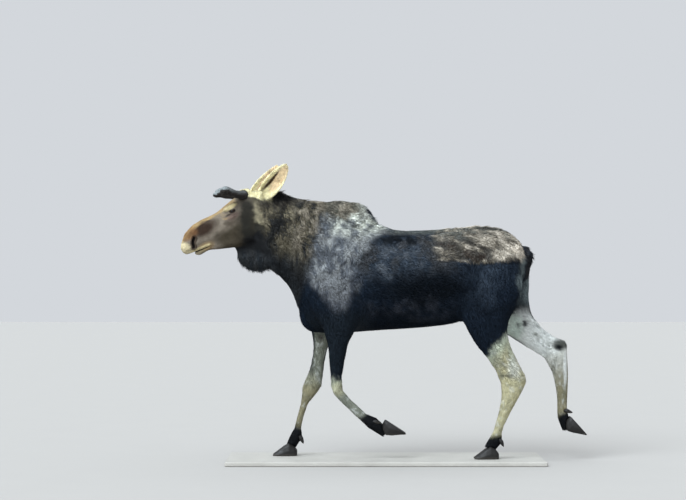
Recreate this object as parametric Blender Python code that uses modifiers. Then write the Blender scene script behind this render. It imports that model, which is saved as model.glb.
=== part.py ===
"""A young bull moose in velvet, life size, in mid-trot on a plain display base.

Metres, +Z up. The animal faces -X and its left side faces -Y. The origin is the middle of the
base's underside. The whole animal is modelled at floor level and then lifted onto the base.

The flesh is modelled whole: lofts and rounded masses are fused with a voxel remesh, smoothed and
thinned out, and thin cuts then part it into head, jaw, neck, bell, trunk, tail and legs. Eyes,
antlers, hooves and dewclaws are solids of their own, seated in pockets cut in the flesh.
"""

import math
from dataclasses import dataclass

import bmesh
import bpy
from mathutils import Matrix, Vector

# ---- Driving dimensions ----------------------------------------------------------------------
HUMP_TOP = 1.808  # hair on the hump above the feet
BACK_TOP = 1.588
RUMP_TOP = 1.612
BRISKET = 0.865  # lowest line of the chest between the forelegs
CHEST_FRONT = -0.69

HEAD_AT = Vector((-0.938, 0.0, 1.785))  # a point between the ear roots
HEAD_PITCH = math.radians(31.3)  # muzzle below the horizontal
HEAD_YAW = math.radians(9.0)  # muzzle turned to the animal's left

EAR_LENGTH = 0.278
EAR_HALF_WIDTH = 0.062
EAR_SKIN = 0.009
ANTLER_REACH = 0.185
EYE_RADIUS = 0.021
HOOF_HEIGHT = 0.078
TAIL_LENGTH = 0.20

BASE_LENGTH, BASE_WIDTH, BASE_THICKNESS = 2.20, 0.80, 0.030
BASE_CENTRE_X = -0.077
GAP = 0.0004  # between pieces that meet

VOXEL = 0.012
FLESH_TRIANGLES = 2700
DETAIL_WEIGHT = 0.004  # how strongly thinning spares the head and the lower legs

LEFT, RIGHT = -1, 1


# ---- Small tools -----------------------------------------------------------------------------
@dataclass
class Section:
    """A ring of a loft: two points of the side outline as (x, z), and how wide the ring is.

    On a leg the first point is on the front outline and the second on the back outline.
    """

    first: tuple
    second: tuple
    half: float
    y: float = 0.0
    taper: float = 0.0  # above 0 the ring is wider towards its first point
    square: float = 2.0  # 2 is an ellipse, and more is boxier

    def numbers(self):
        return [*self.first, *self.second, self.half, self.y, self.taper, self.square]


def catmull_rom(a, b, c, d, t):
    """The number at share t of the way from b to c on a smooth curve through all four."""
    return b + 0.5 * t * (c - a + t * (2 * a - 5 * b + 4 * c - d + t * (3 * (b - c) + d - a)))


def smooth_rings(sections, steps):
    """The sections' numbers with steps - 1 smooth in-between rings after each."""
    rows = [section.numbers() for section in sections]
    rows = [rows[0], *rows, rows[-1]]
    rings = []
    for i in range(len(rows) - 3):
        for step in range(steps):
            share = step / steps
            rings.append([catmull_rom(*four, share) for four in zip(*rows[i : i + 4])])
    return [*rings, rows[-1]]


def ring_points(numbers, sides):
    x1, z1, x2, z2, half, y, taper, square = numbers
    middle = Vector(((x1 + x2) / 2, y, (z1 + z2) / 2))
    reach = Vector(((x1 - x2) / 2, 0, (z1 - z2) / 2))
    points = []
    for k in range(sides):
        angle = math.tau * k / sides
        along = math.copysign(abs(math.cos(angle)) ** (2 / square), math.cos(angle))
        across = math.copysign(abs(math.sin(angle)) ** (2 / square), math.sin(angle))
        across *= half * (1 + taper * along)
        points.append(middle + reach * along + Vector((0, across, 0)))
    return points


def new_object(name, bm, place=None):
    """The bmesh as an object in the scratch collection, facing out, moved by the matrix place.

    It is triangulated, so that a piece and the pocket cut for it bend along the same edges.
    """
    if place is not None:
        bm.transform(place)
    bmesh.ops.triangulate(bm, faces=bm.faces)
    bmesh.ops.recalc_face_normals(bm, faces=bm.faces)
    if bm.calc_volume(signed=True) < 0:
        bmesh.ops.reverse_faces(bm, faces=bm.faces)
    mesh = bpy.data.meshes.new(name)
    bm.to_mesh(mesh)
    bm.free()
    made = bpy.data.objects.new(name, mesh)
    scratch.objects.link(made)
    return made


def loft(name, sections, sides=28, steps=4, place=None):
    """A closed skin over the sections, with flat ends."""
    bm = bmesh.new()
    rings = []
    for numbers in smooth_rings(sections, steps):
        rings.append([bm.verts.new(point) for point in ring_points(numbers, sides)])
    for one, two in zip(rings, rings[1:]):
        for k in range(sides):
            following = (k + 1) % sides
            bm.faces.new((one[k], one[following], two[following], two[k]))
    bm.faces.new(rings[0])
    bm.faces.new(rings[-1])
    return new_object(name, bm, place)


def mass(name, centre, radii, pitch=0.0, place=None):
    """A rounded mass, such as a muscle: an ellipsoid pitched about the Y axis."""
    bm = bmesh.new()
    bmesh.ops.create_uvsphere(bm, u_segments=24, v_segments=16, radius=1)
    turn = Matrix.Rotation(pitch, 4, "Y")
    bm.transform(Matrix.Translation(centre) @ turn @ Matrix.Diagonal((*radii, 1)))
    return new_object(name, bm, place)


def prism(name, outline, low_y, high_y, place=None):
    """A cutter: an outline in the XZ plane, extruded along Y."""
    bm = bmesh.new()
    flat = bm.faces.new([bm.verts.new((x, low_y, z)) for x, z in outline])
    swept = bmesh.ops.extrude_face_region(bm, geom=[flat])["geom"]
    corners = [part for part in swept if isinstance(part, bmesh.types.BMVert)]
    bmesh.ops.translate(bm, verts=corners, vec=(0, high_y - low_y, 0))
    return new_object(name, bm, place)


def settle(made):
    """The object with its modifiers applied."""
    graph = bpy.context.evaluated_depsgraph_get()
    mesh = bpy.data.meshes.new_from_object(made.evaluated_get(graph))
    made.modifiers.clear()
    made.data = mesh
    return made


def fuse(name, pieces, voxel, smoothing):
    """One closed skin round all the pieces, with the creases between them softened."""
    bm = bmesh.new()
    for piece in pieces:
        bm.from_mesh(piece.data)
        bpy.data.objects.remove(piece)
    fused = new_object(name, bm)
    remesh = fused.modifiers.new("fuse", "REMESH")
    remesh.mode = "VOXEL"
    remesh.voxel_size = voxel
    soften = fused.modifiers.new("soften", "SMOOTH")
    soften.factor = 0.5
    soften.iterations = smoothing
    return settle(fused)


def thin_out(made, triangles, spared=None):
    """Thins the mesh to about so many triangles. spared(point) is 1 where it stays fine."""
    made.data.calc_loop_triangles()
    thinner = made.modifiers.new("thin out", "DECIMATE")
    thinner.ratio = triangles / len(made.data.loop_triangles)
    if spared:
        group = made.vertex_groups.new(name="thin here")
        for vertex in made.data.vertices:
            group.add([vertex.index], 1 - 0.9 * spared(vertex.co), "REPLACE")
        thinner.vertex_group = group.name
        thinner.vertex_group_factor = DETAIL_WEIGHT
    settle(made)
    made.vertex_groups.clear()
    return made


def swollen(tool, by=GAP):
    """A copy of the tool with its faces pushed out, so that a cut leaves a gap."""
    bm = bmesh.new()
    bm.from_mesh(tool.data)
    bm.normal_update()
    for vertex in bm.verts:
        vertex.co += vertex.normal * by * vertex.calc_shell_factor()
    return new_object(tool.name + " swollen", bm)


def cut(made, tool, operation):
    """Applies a Boolean with the tool, which stays."""
    boolean = made.modifiers.new("cut", "BOOLEAN")
    boolean.operation = operation
    boolean.solver = "EXACT"
    boolean.object = tool
    return settle(made)


def carve(made, tool):
    """Cuts a pocket for the tool into made, a gap larger than the tool."""
    pocket = swollen(tool)
    cut(made, pocket, "DIFFERENCE")
    bpy.data.objects.remove(pocket)
    return made


def part_off(body, name, tool):
    """Parts what lies inside the tool from the body, with a thin cut between them."""
    piece = bpy.data.objects.new(name, body.data.copy())
    scratch.objects.link(piece)
    cut(piece, tool, "INTERSECT")
    carve(body, tool)
    bpy.data.objects.remove(tool)
    return piece


def keep_largest(made):
    """Drops crumbs that a cut leaves, so that the piece is one body."""
    bm = bmesh.new()
    bm.from_mesh(made.data)
    unseen, islands = set(bm.faces), []
    while unseen:
        island, edge_of_search = set(), [unseen.pop()]
        while edge_of_search:
            face = edge_of_search.pop()
            island.add(face)
            for edge in face.edges:
                beyond = [other for other in edge.link_faces if other in unseen]
                unseen.difference_update(beyond)
                edge_of_search.extend(beyond)
        islands.append(island)
    largest = max(islands, key=lambda island: sum(face.calc_area() for face in island))
    crumbs = [face for face in bm.faces if face not in largest]
    bmesh.ops.delete(bm, geom=crumbs, context="FACES")
    bm.to_mesh(made.data)
    bm.free()
    return made


# ---- Head ------------------------------------------------------------------------------------
def head_place():
    """From the head's own frame to the body's: there x runs back from the muzzle, z is up."""
    turned = Matrix.Rotation(HEAD_YAW, 4, "Z") @ Matrix.Rotation(-HEAD_PITCH, 4, "Y")
    return Matrix.Translation(HEAD_AT) @ turned


def on_head(forward, up, y=0.0):
    """A point of the head's own frame, from its distance ahead of HEAD_AT."""
    return Vector((-forward, y, up))


def head_forms():
    """The skull, muzzle and cheeks, from the tip of the muzzle to behind the ears."""
    place = head_place()
    rows = (
        # ahead, top, bottom, half width, taper, square
        (0.662, 0.010, -0.014, 0.026, 0.0, 2.0),
        (0.648, 0.036, -0.036, 0.050, 0.0, 2.2),
        (0.612, 0.068, -0.054, 0.068, -0.05, 2.4),
        (0.570, 0.097, -0.062, 0.076, -0.08, 2.5),
        (0.510, 0.112, -0.092, 0.076, 0.02, 2.4),
        (0.440, 0.118, -0.124, 0.068, 0.12, 2.3),
        (0.368, 0.109, -0.158, 0.066, 0.14, 2.2),
        (0.310, 0.106, -0.182, 0.076, 0.14, 2.2),
        (0.240, 0.115, -0.204, 0.094, 0.14, 2.2),
        (0.170, 0.126, -0.216, 0.106, 0.10, 2.2),
        (0.090, 0.130, -0.205, 0.110, 0.05, 2.2),
        (0.010, 0.104, -0.180, 0.114, 0.0, 2.1),
        (-0.080, 0.060, -0.150, 0.110, 0.0, 2.0),
    )
    sections = [
        Section((-ahead, top), (-ahead, bottom), half, taper=taper, square=square)
        for ahead, top, bottom, half, taper, square in rows
    ]
    forms = [loft("skull", sections, place=place)]
    forms.append(mass("upper lip", on_head(0.606, -0.006), (0.056, 0.070, 0.044), place=place))
    forms.append(mass("chin", on_head(0.545, -0.078), (0.046, 0.036, 0.022), place=place))
    forms.append(mass("nose bridge", on_head(0.47, 0.066), (0.12, 0.056, 0.052), place=place))
    for side in (LEFT, RIGHT):
        masses = {
            "nostril rim": ((0.572, 0.008, 0.050), (0.056, 0.036, 0.056), -0.3),
            "brow": ((0.215, 0.084, 0.082), (0.058, 0.031, 0.030), 0.1),
            "cheekbone": ((0.225, 0.018, 0.088), (0.095, 0.028, 0.030), 0.1),
            "cheek": ((0.170, -0.090, 0.064), (0.115, 0.044, 0.110), 0.5),
            "jaw edge": ((0.345, -0.128, 0.034), (0.150, 0.030, 0.034), 0.34),
            "pedicle": ((0.082, 0.118, 0.064), (0.052, 0.036, 0.036), 0.0),
            "ear root": ((-0.030, 0.022, 0.078), (0.044, 0.027, 0.040), 0.5),
        }
        for name, (where, radii, pitch) in masses.items():
            centre = on_head(where[0], where[1], side * where[2])
            forms.append(mass(name, centre, radii, pitch, place))
    return forms


def mouth_and_nostrils():
    """Cutters for the gap between the lips and for the two nostrils."""
    place = head_place()
    lips = ((-0.70, -0.022), (-0.70, -0.060), (-0.61, -0.060), (-0.483, -0.072), (-0.60, -0.050))
    cutters = [prism("mouth", lips, -0.12, 0.12, place)]
    rows = (
        # ahead, top, bottom, half width
        (0.594, -0.012, -0.020, 0.004),
        (0.586, 0.006, -0.032, 0.013),
        (0.572, 0.022, -0.030, 0.019),
        (0.557, 0.034, -0.006, 0.017),
        (0.544, 0.041, 0.016, 0.012),
        (0.531, 0.042, 0.028, 0.004),
    )
    for side in (LEFT, RIGHT):
        comma = [
            Section((-ahead, top), (-ahead, bottom), half, y=side * 0.088)
            for ahead, top, bottom, half in rows
        ]
        cutters.append(loft("nostril", comma, sides=10, steps=2, place=place))
    return cutters


def eye(side):
    bm = bmesh.new()
    bmesh.ops.create_icosphere(bm, subdivisions=2, radius=EYE_RADIUS)
    bm.transform(Matrix.Translation(on_head(0.222, 0.056, side * 0.0925)))
    return new_object("eye", bm, head_place())


# Each ear's root, the way to its tip and the way it opens: the left is turned out, the right forward.
EARS = {
    LEFT: (
        on_head(-0.019, 0.039, LEFT * 0.118),
        Vector((0.236, -0.110, 0.094)),
        Vector((-0.30, -1.0, 0.25)),
    ),
    RIGHT: (
        on_head(0.008, 0.062, RIGHT * 0.094),
        Vector((0.255, 0.084, 0.080)),
        Vector((-0.45, -0.85, 0.20)),
    ),
}


def ear(root, direction, opening):
    """A cupped leaf, rolled at its root. Both directions are in the head's own frame."""
    along = direction.normalized()
    out = (opening - opening.dot(along) * along).normalized()
    across = along.cross(out)
    bm = bmesh.new()
    bmesh.ops.create_grid(bm, x_segments=9, y_segments=6, size=1)
    for vertex in bm.verts:
        share, spread = (vertex.co.x + 1) / 2, vertex.co.y
        blade = math.sin(math.pi * (0.15 + 0.83 * share) ** 0.90) ** 0.55
        width = EAR_HALF_WIDTH * blade
        roll = math.radians(125 - 72 * share**0.6)
        round_the_cup = math.sin(roll * spread) / max(math.sin(min(roll, math.pi / 2)), 0.6)
        depth = 0.75 * width * (1 - math.cos(roll * spread)) - 0.8 * width
        bend = 0.030 * share**2
        vertex.co = root + along * (EAR_LENGTH * share)
        vertex.co += across * (width * round_the_cup) + out * (depth + bend)
    made = new_object("ear", bm, head_place())
    thick = made.modifiers.new("skin", "SOLIDIFY")
    thick.thickness = EAR_SKIN
    thick.offset = 0
    return settle(made)


def antler(side):
    """A short growing antler in velvet: a thick beam, out, up and forward, that starts to fork."""
    place = head_place()
    root = on_head(0.094, 0.113, side * 0.072)
    reach = on_head(0.119, 0.102, side * 0.106).normalized() * ANTLER_REACH
    forms = []
    beads = 9
    for k in range(beads):
        share = k / (beads - 1)
        sag = Vector((0, 0, -0.012 * math.sin(math.pi * share)))
        thickness = 0.034 - 0.006 * math.sin(math.pi * min(1, share * 1.2))
        forms.append(mass("beam", root + reach * share * 0.88 + sag, (thickness,) * 3, place=place))
    tip = root + reach * 0.93
    lobes = (
        # ahead of the tip, above it, to the side, radii
        (-0.002, 0.003, 0.016, (0.036, 0.028, 0.024)),
        (0.026, -0.005, -0.014, (0.038, 0.023, 0.021)),
    )
    for ahead, up, outward, radii in lobes:
        centre = tip + on_head(ahead, up, side * outward)
        forms.append(mass("lobe", centre, radii, 0.5, place))
    return thin_out(fuse("antler", forms, 0.006, 5), 220)


def tine_cutter(side):
    """Parts the lower lobe of an antler, the coming brow tine, from its beam."""
    outline = ((-0.240, 0.230), (-0.405, 0.285), (-0.405, 0.105), (-0.204, 0.105), (-0.214, 0.200))
    low, high = sorted((side * 0.05, side * 0.40))
    return prism("tine cut", outline, low, high, head_place())


# ---- Neck, trunk, tail -----------------------------------------------------------------------
def trunk_forms():
    rows = (
        # x, top, bottom, half width, taper
        (CHEST_FRONT + 0.02, 1.38, 1.02, 0.10, -0.2),
        (-0.585, 1.62, BRISKET + 0.02, 0.185, -0.15),
        (-0.46, 1.70, BRISKET - 0.005, 0.225, -0.15),
        (-0.32, 1.69, BRISKET, 0.250, -0.12),
        (-0.16, 1.635, 0.877, 0.272, -0.10),
        (0.02, BACK_TOP, 0.888, 0.288, -0.08),
        (0.22, BACK_TOP + 0.005, 0.900, 0.290, -0.06),
        (0.40, RUMP_TOP - 0.005, 0.932, 0.272, 0.0),
        (0.57, RUMP_TOP, 1.00, 0.248, 0.05),
        (0.71, RUMP_TOP - 0.025, 1.08, 0.218, 0.05),
        (0.83, 1.530, 1.16, 0.170, 0.0),
        (0.905, 1.430, 1.24, 0.095, 0.0),
    )
    sections = [
        Section((x, top), (x, bottom), half, taper=taper, square=2.25)
        for x, top, bottom, half, taper in rows
    ]
    hump_depth = HUMP_TOP - 1.42
    forms = [
        loft("barrel", sections, sides=36),
        mass("hump", (-0.405, 0, HUMP_TOP - hump_depth), (0.27, 0.125, hump_depth), 0.0),
        mass("hump back", (-0.33, 0, 1.56), (0.20, 0.115, 0.235), 0.30),
        mass("brisket", (-0.56, 0, 1.00), (0.125, 0.105, 0.135), 0.2),
        mass("croup", (0.62, 0, 1.46), (0.26, 0.150, 0.160), 0.10),
    ]
    for side in (LEFT, RIGHT):
        forms.append(mass("shoulder blade", (-0.40, side * 0.163, 1.34), (0.15, 0.062, 0.26), 0.28))
        forms.append(mass("hip bone", (0.47, side * 0.178, 1.485), (0.09, 0.050, 0.070), 0.2))
        forms.append(mass("flank", (0.30, side * 0.165, 1.08), (0.24, 0.105, 0.165), -0.1))
    return forms


def neck_forms():
    """A deep neck, narrow from side to side, that carries a mane along its crest."""
    sections = [
        Section((-0.900, 1.835), (-0.990, 1.470), 0.110, y=-0.006, taper=-0.22),
        Section((-0.820, 1.872), (-0.918, 1.352), 0.128, taper=-0.28),
        Section((-0.725, 1.820), (-0.825, 1.268), 0.142, taper=-0.20),
        Section((-0.640, 1.800), (-0.740, 1.170), 0.165, taper=-0.15),
        Section((-0.545, 1.800), (-0.672, 1.010), 0.190, taper=-0.18),
        Section((-0.440, 1.780), (-0.580, 0.940), 0.205, taper=-0.18),
    ]
    return [loft("neck", sections)]


def bell_form():
    """The bell, a flap of skin and hair below the throat."""
    rows = (
        # x, top, bottom, half width
        (-1.118, 1.455, 1.400, 0.012),
        (-1.098, 1.480, 1.356, 0.022),
        (-1.050, 1.500, 1.324, 0.030),
        (-0.985, 1.500, 1.308, 0.034),
        (-0.925, 1.480, 1.312, 0.036),
        (-0.870, 1.450, 1.345, 0.030),
    )
    sections = [Section((x, top), (x, bottom), half, y=-0.012) for x, top, bottom, half in rows]
    return [loft("bell", sections)]


def tail_form():
    root = Vector((0.905, 0, 1.455))
    sections = [
        Section((root.x - 0.05, root.z + 0.035), (root.x - 0.05, root.z - 0.05), 0.040),
        Section((root.x + 0.01, root.z + 0.025), (root.x - 0.02, root.z - 0.055), 0.038),
        Section((root.x + 0.044, root.z - 0.020), (root.x - 0.01, root.z - 0.075), 0.035),
        Section((root.x + 0.044, root.z - 0.085), (root.x - 0.01, root.z - 0.100), 0.033),
        Section((root.x + 0.036, root.z - 0.150), (root.x - 0.01, root.z - 0.150), 0.026),
        Section((root.x + 0.028, root.z - TAIL_LENGTH), (root.x, root.z - TAIL_LENGTH), 0.010),
    ]
    return [loft("tail", sections)]


# ---- Legs ------------------------------------------------------------------------------------
# Each row is a ring: front x, front z, back x, back z, half width, and y on the animal's right.
FORELEG_BENT = (  # the left foreleg swings through, folded at the knee
    (-0.590, 1.300, -0.300, 1.340, 0.070, 0.170),
    (-0.615, 1.080, -0.215, 1.120, 0.090, 0.180),
    (-0.530, 0.930, -0.265, 0.930, 0.082, 0.178),
    (-0.485, 0.800, -0.328, 0.800, 0.066, 0.170),
    (-0.474, 0.680, -0.352, 0.680, 0.053, 0.162),
    (-0.464, 0.575, -0.371, 0.580, 0.043, 0.155),
    (-0.457, 0.505, -0.368, 0.520, 0.046, 0.150),
    (-0.438, 0.450, -0.372, 0.482, 0.043, 0.149),
    (-0.392, 0.396, -0.336, 0.436, 0.033, 0.148),
    (-0.322, 0.328, -0.273, 0.378, 0.029, 0.146),
    (-0.250, 0.262, -0.206, 0.316, 0.031, 0.144),
    (-0.200, 0.214, -0.142, 0.290, 0.042, 0.143),
    (-0.145, 0.180, -0.098, 0.248, 0.039, 0.142),
    (-0.094, 0.146, -0.052, 0.214, 0.038, 0.142),
)
FORELEG_PLANTED = (  # the right foreleg bears weight, reaching forward
    (-0.620, 1.300, -0.330, 1.340, 0.070, 0.170),
    (-0.660, 1.080, -0.260, 1.100, 0.090, 0.180),
    (-0.612, 0.930, -0.360, 0.930, 0.082, 0.178),
    (-0.586, 0.800, -0.455, 0.800, 0.064, 0.168),
    (-0.596, 0.680, -0.492, 0.680, 0.052, 0.158),
    (-0.622, 0.585, -0.504, 0.580, 0.044, 0.150),
    (-0.656, 0.505, -0.520, 0.490, 0.048, 0.144),
    (-0.664, 0.440, -0.560, 0.430, 0.042, 0.142),
    (-0.672, 0.370, -0.612, 0.365, 0.032, 0.139),
    (-0.697, 0.280, -0.645, 0.272, 0.029, 0.136),
    (-0.716, 0.200, -0.662, 0.190, 0.031, 0.133),
    (-0.738, 0.160, -0.655, 0.128, 0.042, 0.132),
    (-0.762, 0.118, -0.685, 0.078, 0.039, 0.131),
    (-0.778, 0.088, -0.700, 0.050, 0.038, 0.131),
)
HINDLEG_PLANTED = (  # the left hindleg bears weight under the hip
    (0.500, 1.440, 0.850, 1.440, 0.080, 0.135),
    (0.440, 1.240, 0.872, 1.290, 0.105, 0.155),
    (0.420, 1.060, 0.868, 1.130, 0.108, 0.172),
    (0.478, 0.905, 0.778, 0.950, 0.090, 0.180),
    (0.545, 0.785, 0.782, 0.815, 0.072, 0.172),
    (0.628, 0.686, 0.826, 0.716, 0.056, 0.160),
    (0.684, 0.598, 0.874, 0.626, 0.045, 0.150),
    (0.716, 0.525, 0.906, 0.556, 0.047, 0.144),
    (0.724, 0.450, 0.868, 0.455, 0.042, 0.142),
    (0.714, 0.371, 0.820, 0.371, 0.034, 0.140),
    (0.693, 0.280, 0.774, 0.280, 0.031, 0.137),
    (0.668, 0.195, 0.735, 0.189, 0.032, 0.135),
    (0.644, 0.150, 0.735, 0.120, 0.043, 0.134),
    (0.618, 0.112, 0.698, 0.070, 0.040, 0.133),
    (0.602, 0.086, 0.680, 0.048, 0.039, 0.133),
)
HINDLEG_TRAILING = (  # the right hindleg has just left the ground behind
    (0.510, 1.440, 0.888, 1.440, 0.080, 0.135),
    (0.490, 1.220, 0.948, 1.290, 0.105, 0.150),
    (0.520, 1.010, 0.950, 1.140, 0.106, 0.162),
    (0.640, 0.890, 0.958, 1.040, 0.092, 0.168),
    (0.775, 0.852, 0.984, 0.975, 0.077, 0.164),
    (0.882, 0.784, 1.046, 0.900, 0.060, 0.156),
    (0.980, 0.722, 1.122, 0.846, 0.048, 0.150),
    (1.048, 0.682, 1.207, 0.806, 0.047, 0.146),
    (1.076, 0.636, 1.216, 0.712, 0.046, 0.145),
    (1.108, 0.567, 1.224, 0.581, 0.038, 0.143),
    (1.130, 0.455, 1.220, 0.455, 0.031, 0.141),
    (1.138, 0.345, 1.214, 0.340, 0.031, 0.139),
    (1.140, 0.268, 1.224, 0.280, 0.042, 0.138),
    (1.162, 0.208, 1.244, 0.246, 0.040, 0.137),
    (1.176, 0.168, 1.252, 0.200, 0.039, 0.137),
)


def leg_form(name, rows, side):
    sections = [
        Section((fx, fz), (bx, bz), half, y=side * y, square=2.15) for fx, fz, bx, bz, half, y in rows
    ]
    return loft(name, sections, sides=24)


@dataclass
class Foot:
    """Where a foot's toes and dewclaws sit, as (x, z) and a pitch in degrees for each.

    At pitch 0 a toe points forward with its sole level, and a dewclaw hangs straight down.
    """

    name: str
    side: int
    y: float
    coronet: tuple
    toe_pitch: float
    fetlock: tuple  # the back of the fetlock
    claw_pitch: float


FEET = (
    Foot("front_left", LEFT, 0.142, (-0.072, 0.176), 213, (-0.150, 0.262), -72),
    Foot("front_right", RIGHT, 0.131, (-0.752, HOOF_HEIGHT), 0, (-0.668, 0.128), -22),
    Foot("hind_left", LEFT, 0.133, (0.650, HOOF_HEIGHT), 0, (0.722, 0.128), -22),
    Foot("hind_right", RIGHT, 0.137, (1.214, 0.183), 228, (1.204, 0.318), -70),
)


def toe(foot, lateral):
    """One of a foot's two hoofs: a long pointed wedge with a flat sole."""
    rows = (
        # ahead of the coronet, top, half width
        (-0.058, -0.036, 0.014),
        (-0.036, -0.008, 0.025),
        (0.000, 0.012, 0.029),
        (0.036, -0.008, 0.028),
        (0.072, -0.036, 0.023),
        (0.100, -0.057, 0.014),
        (0.116, -0.068, 0.004),
    )
    below = -HOOF_HEIGHT - 0.02  # the loft reaches below the sole and is cut flat
    sections = [
        Section((-ahead, top), (-ahead, below), half, taper=-0.25, square=2.6)
        for ahead, top, half in rows
    ]
    made = loft("hoof", sections, sides=8, steps=1)
    bm = bmesh.new()
    bm.from_mesh(made.data)
    bpy.data.objects.remove(made)
    everything = [*bm.verts, *bm.edges, *bm.faces]
    sole = Vector((0, 0, -HOOF_HEIGHT))
    sliced = bmesh.ops.bisect_plane(
        bm, geom=everything, plane_co=sole, plane_no=(0, 0, -1), clear_outer=True
    )
    rim = [part for part in sliced["geom_cut"] if isinstance(part, bmesh.types.BMEdge)]
    bmesh.ops.contextual_create(bm, geom=rim)
    x, z = foot.coronet
    place = Matrix.Translation((x, foot.side * foot.y, z))
    place @= Matrix.Rotation(math.radians(foot.toe_pitch), 4, "Y")
    place @= Matrix.Translation((0, lateral * 0.031, 0))
    place @= Matrix.Rotation(math.radians(-5 * lateral), 4, "Z")
    return new_object("hoof", bm, place)


def dewclaw(foot, lateral):
    """A small horn behind the fetlock."""
    sections = [
        Section((-0.014, 0.018), (0.006, 0.016), 0.010),
        Section((-0.018, -0.008), (0.016, -0.004), 0.015),
        Section((-0.010, -0.034), (0.012, -0.028), 0.011),
        Section((0.000, -0.050), (0.006, -0.046), 0.004),
    ]
    x, z = foot.fetlock
    place = Matrix.Translation((x, foot.side * foot.y + lateral * 0.026, z))
    place @= Matrix.Rotation(math.radians(foot.claw_pitch), 4, "Y")
    return loft("dewclaw", sections, sides=6, steps=1, place=place)


# ---- Cuts that part the flesh ----------------------------------------------------------------
WIDE = 0.6  # a cutter's reach beyond the body


def head_cutter():
    """All ahead of a plane behind the ears and the angle of the jaw."""
    outline = ((0.075, 0.40), (-0.90, 0.40), (-0.90, -0.32), (-0.155, -0.32), (-0.105, -0.16))
    return prism("head cut", outline, -WIDE, WIDE, head_place())


def jaw_cutter():
    outline = (
        (-0.80, -0.055),
        (-0.610, -0.055),
        (-0.483, -0.070),
        (-0.330, -0.090),
        (-0.230, -0.112),
        (-0.155, -0.140),
        (-0.130, -0.190),
        (-0.158, -0.320),
        (-0.80, -0.320),
    )
    return prism("jaw cut", outline, -WIDE, WIDE, head_place())


def neck_cutter():
    outline = ((-2.0, 2.2), (-0.560, 2.2), (-0.560, 1.62), (-0.680, 1.08), (-2.0, 1.08))
    return prism("neck cut", outline, -WIDE, WIDE)


def bell_cutter():
    outline = ((-1.20, 1.436), (-1.00, 1.448), (-0.93, 1.430), (-0.85, 1.370), (-0.83, 1.20), (-1.20, 1.20))
    return prism("bell cut", outline, -WIDE, WIDE)


def tail_cutter():
    outline = ((0.885, 1.500), (0.905, 1.235), (1.20, 1.235), (1.20, 1.560), (0.93, 1.560))
    return prism("tail cut", outline, -0.06, 0.06)


def leg_cutter(side, fore):
    """The shoulder and foreleg, or the haunch and hindleg, outside the ribs or the pelvis."""
    inner = 0.075
    ground = -0.1
    if fore:
        outline = ((-1.0, ground), (-1.0, 0.78), (-0.66, 0.90), (-0.63, 1.12), (-0.45, 1.52))
        outline += ((-0.30, 1.50), (-0.17, 1.12), (-0.22, 0.84), (0.20, 0.70), (0.20, ground))
    else:
        outline = ((0.25, ground), (0.25, 0.80), (0.40, 0.95), (0.42, 1.28), (0.56, 1.46))
        outline += ((0.78, 1.46), (0.89, 1.28), (1.50, 1.20), (1.50, ground))
    low, high = sorted((side * inner, side * WIDE))
    return prism("leg cut", outline, low, high)


def lower_leg_cutter(side, joint, slope, depth=0.9):
    """All of a leg beyond its knee or hock: a slab below a plane at the joint."""
    low_y, high_y = sorted((side * 0.01, side * WIDE))
    reach = 0.45
    outline = ((-reach, 0), (reach, 0), (reach, -depth), (-reach, -depth))
    place = Matrix.Translation((joint[0], 0, joint[1])) @ Matrix.Rotation(slope, 4, "Y")
    return prism("lower leg cut", outline, low_y, high_y, place)


# ---- Colours ---------------------------------------------------------------------------------
def finish(name, colour, roughness):
    material = bpy.data.materials.new(name)
    material.use_nodes = True
    shader = material.node_tree.nodes["Principled BSDF"]
    shader.inputs["Base Color"].default_value = (*colour, 1)
    shader.inputs["Roughness"].default_value = roughness
    material.diffuse_color = (*colour, 1)
    return material


def finishes():
    return {
        "dark coat": finish("dark coat", (0.018, 0.016, 0.017), 0.85),
        "grey coat": finish("grey coat", (0.085, 0.070, 0.055), 0.9),
        "brown coat": finish("brown coat", (0.130, 0.085, 0.050), 0.85),
        "pale coat": finish("pale coat", (0.42, 0.36, 0.26), 0.85),
        "ear coat": finish("ear coat", (0.48, 0.33, 0.18), 0.85),
        "velvet": finish("velvet", (0.075, 0.060, 0.050), 0.95),
        "horn": finish("horn", (0.018, 0.015, 0.013), 0.45),
        "eye": finish("eye", (0.012, 0.008, 0.006), 0.08),
        "base": finish("painted board", (0.60, 0.59, 0.57), 0.6),
    }


def show(made, name, material):
    """Moves a finished piece to the moose's own collection, under the empty that lifts it."""
    keep_largest(made)
    made.name = name
    made.data.materials.clear()
    made.data.materials.append(material)
    for polygon in made.data.polygons:
        polygon.material_index = 0
    made.data.shade_smooth()
    made.data.set_sharp_from_angle(angle=math.radians(50))
    scratch.objects.unlink(made)
    shown.objects.link(made)
    made.parent = lifted


def base():
    bpy.ops.mesh.primitive_cube_add(size=1, location=(0, 0, BASE_THICKNESS / 2))
    made = bpy.context.object
    made.name = "stand_base"
    for vertex in made.data.vertices:
        vertex.co *= Vector((BASE_LENGTH, BASE_WIDTH, BASE_THICKNESS))
    edges = made.modifiers.new("eased edges", "BEVEL")
    edges.width = 0.006
    edges.segments = 1
    for collection in made.users_collection:
        collection.objects.unlink(made)
    shown.objects.link(made)
    return made


# ---- The moose -------------------------------------------------------------------------------
def spared(point):
    """1 on the head, where thinning leaves the mesh fine, falling to 0 on the trunk."""
    ahead = (-0.80 - point.x) / 0.18
    low = (0.78 - point.z) / 0.25
    return max(0.0, min(1.0, ahead), min(0.62, low))


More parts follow.
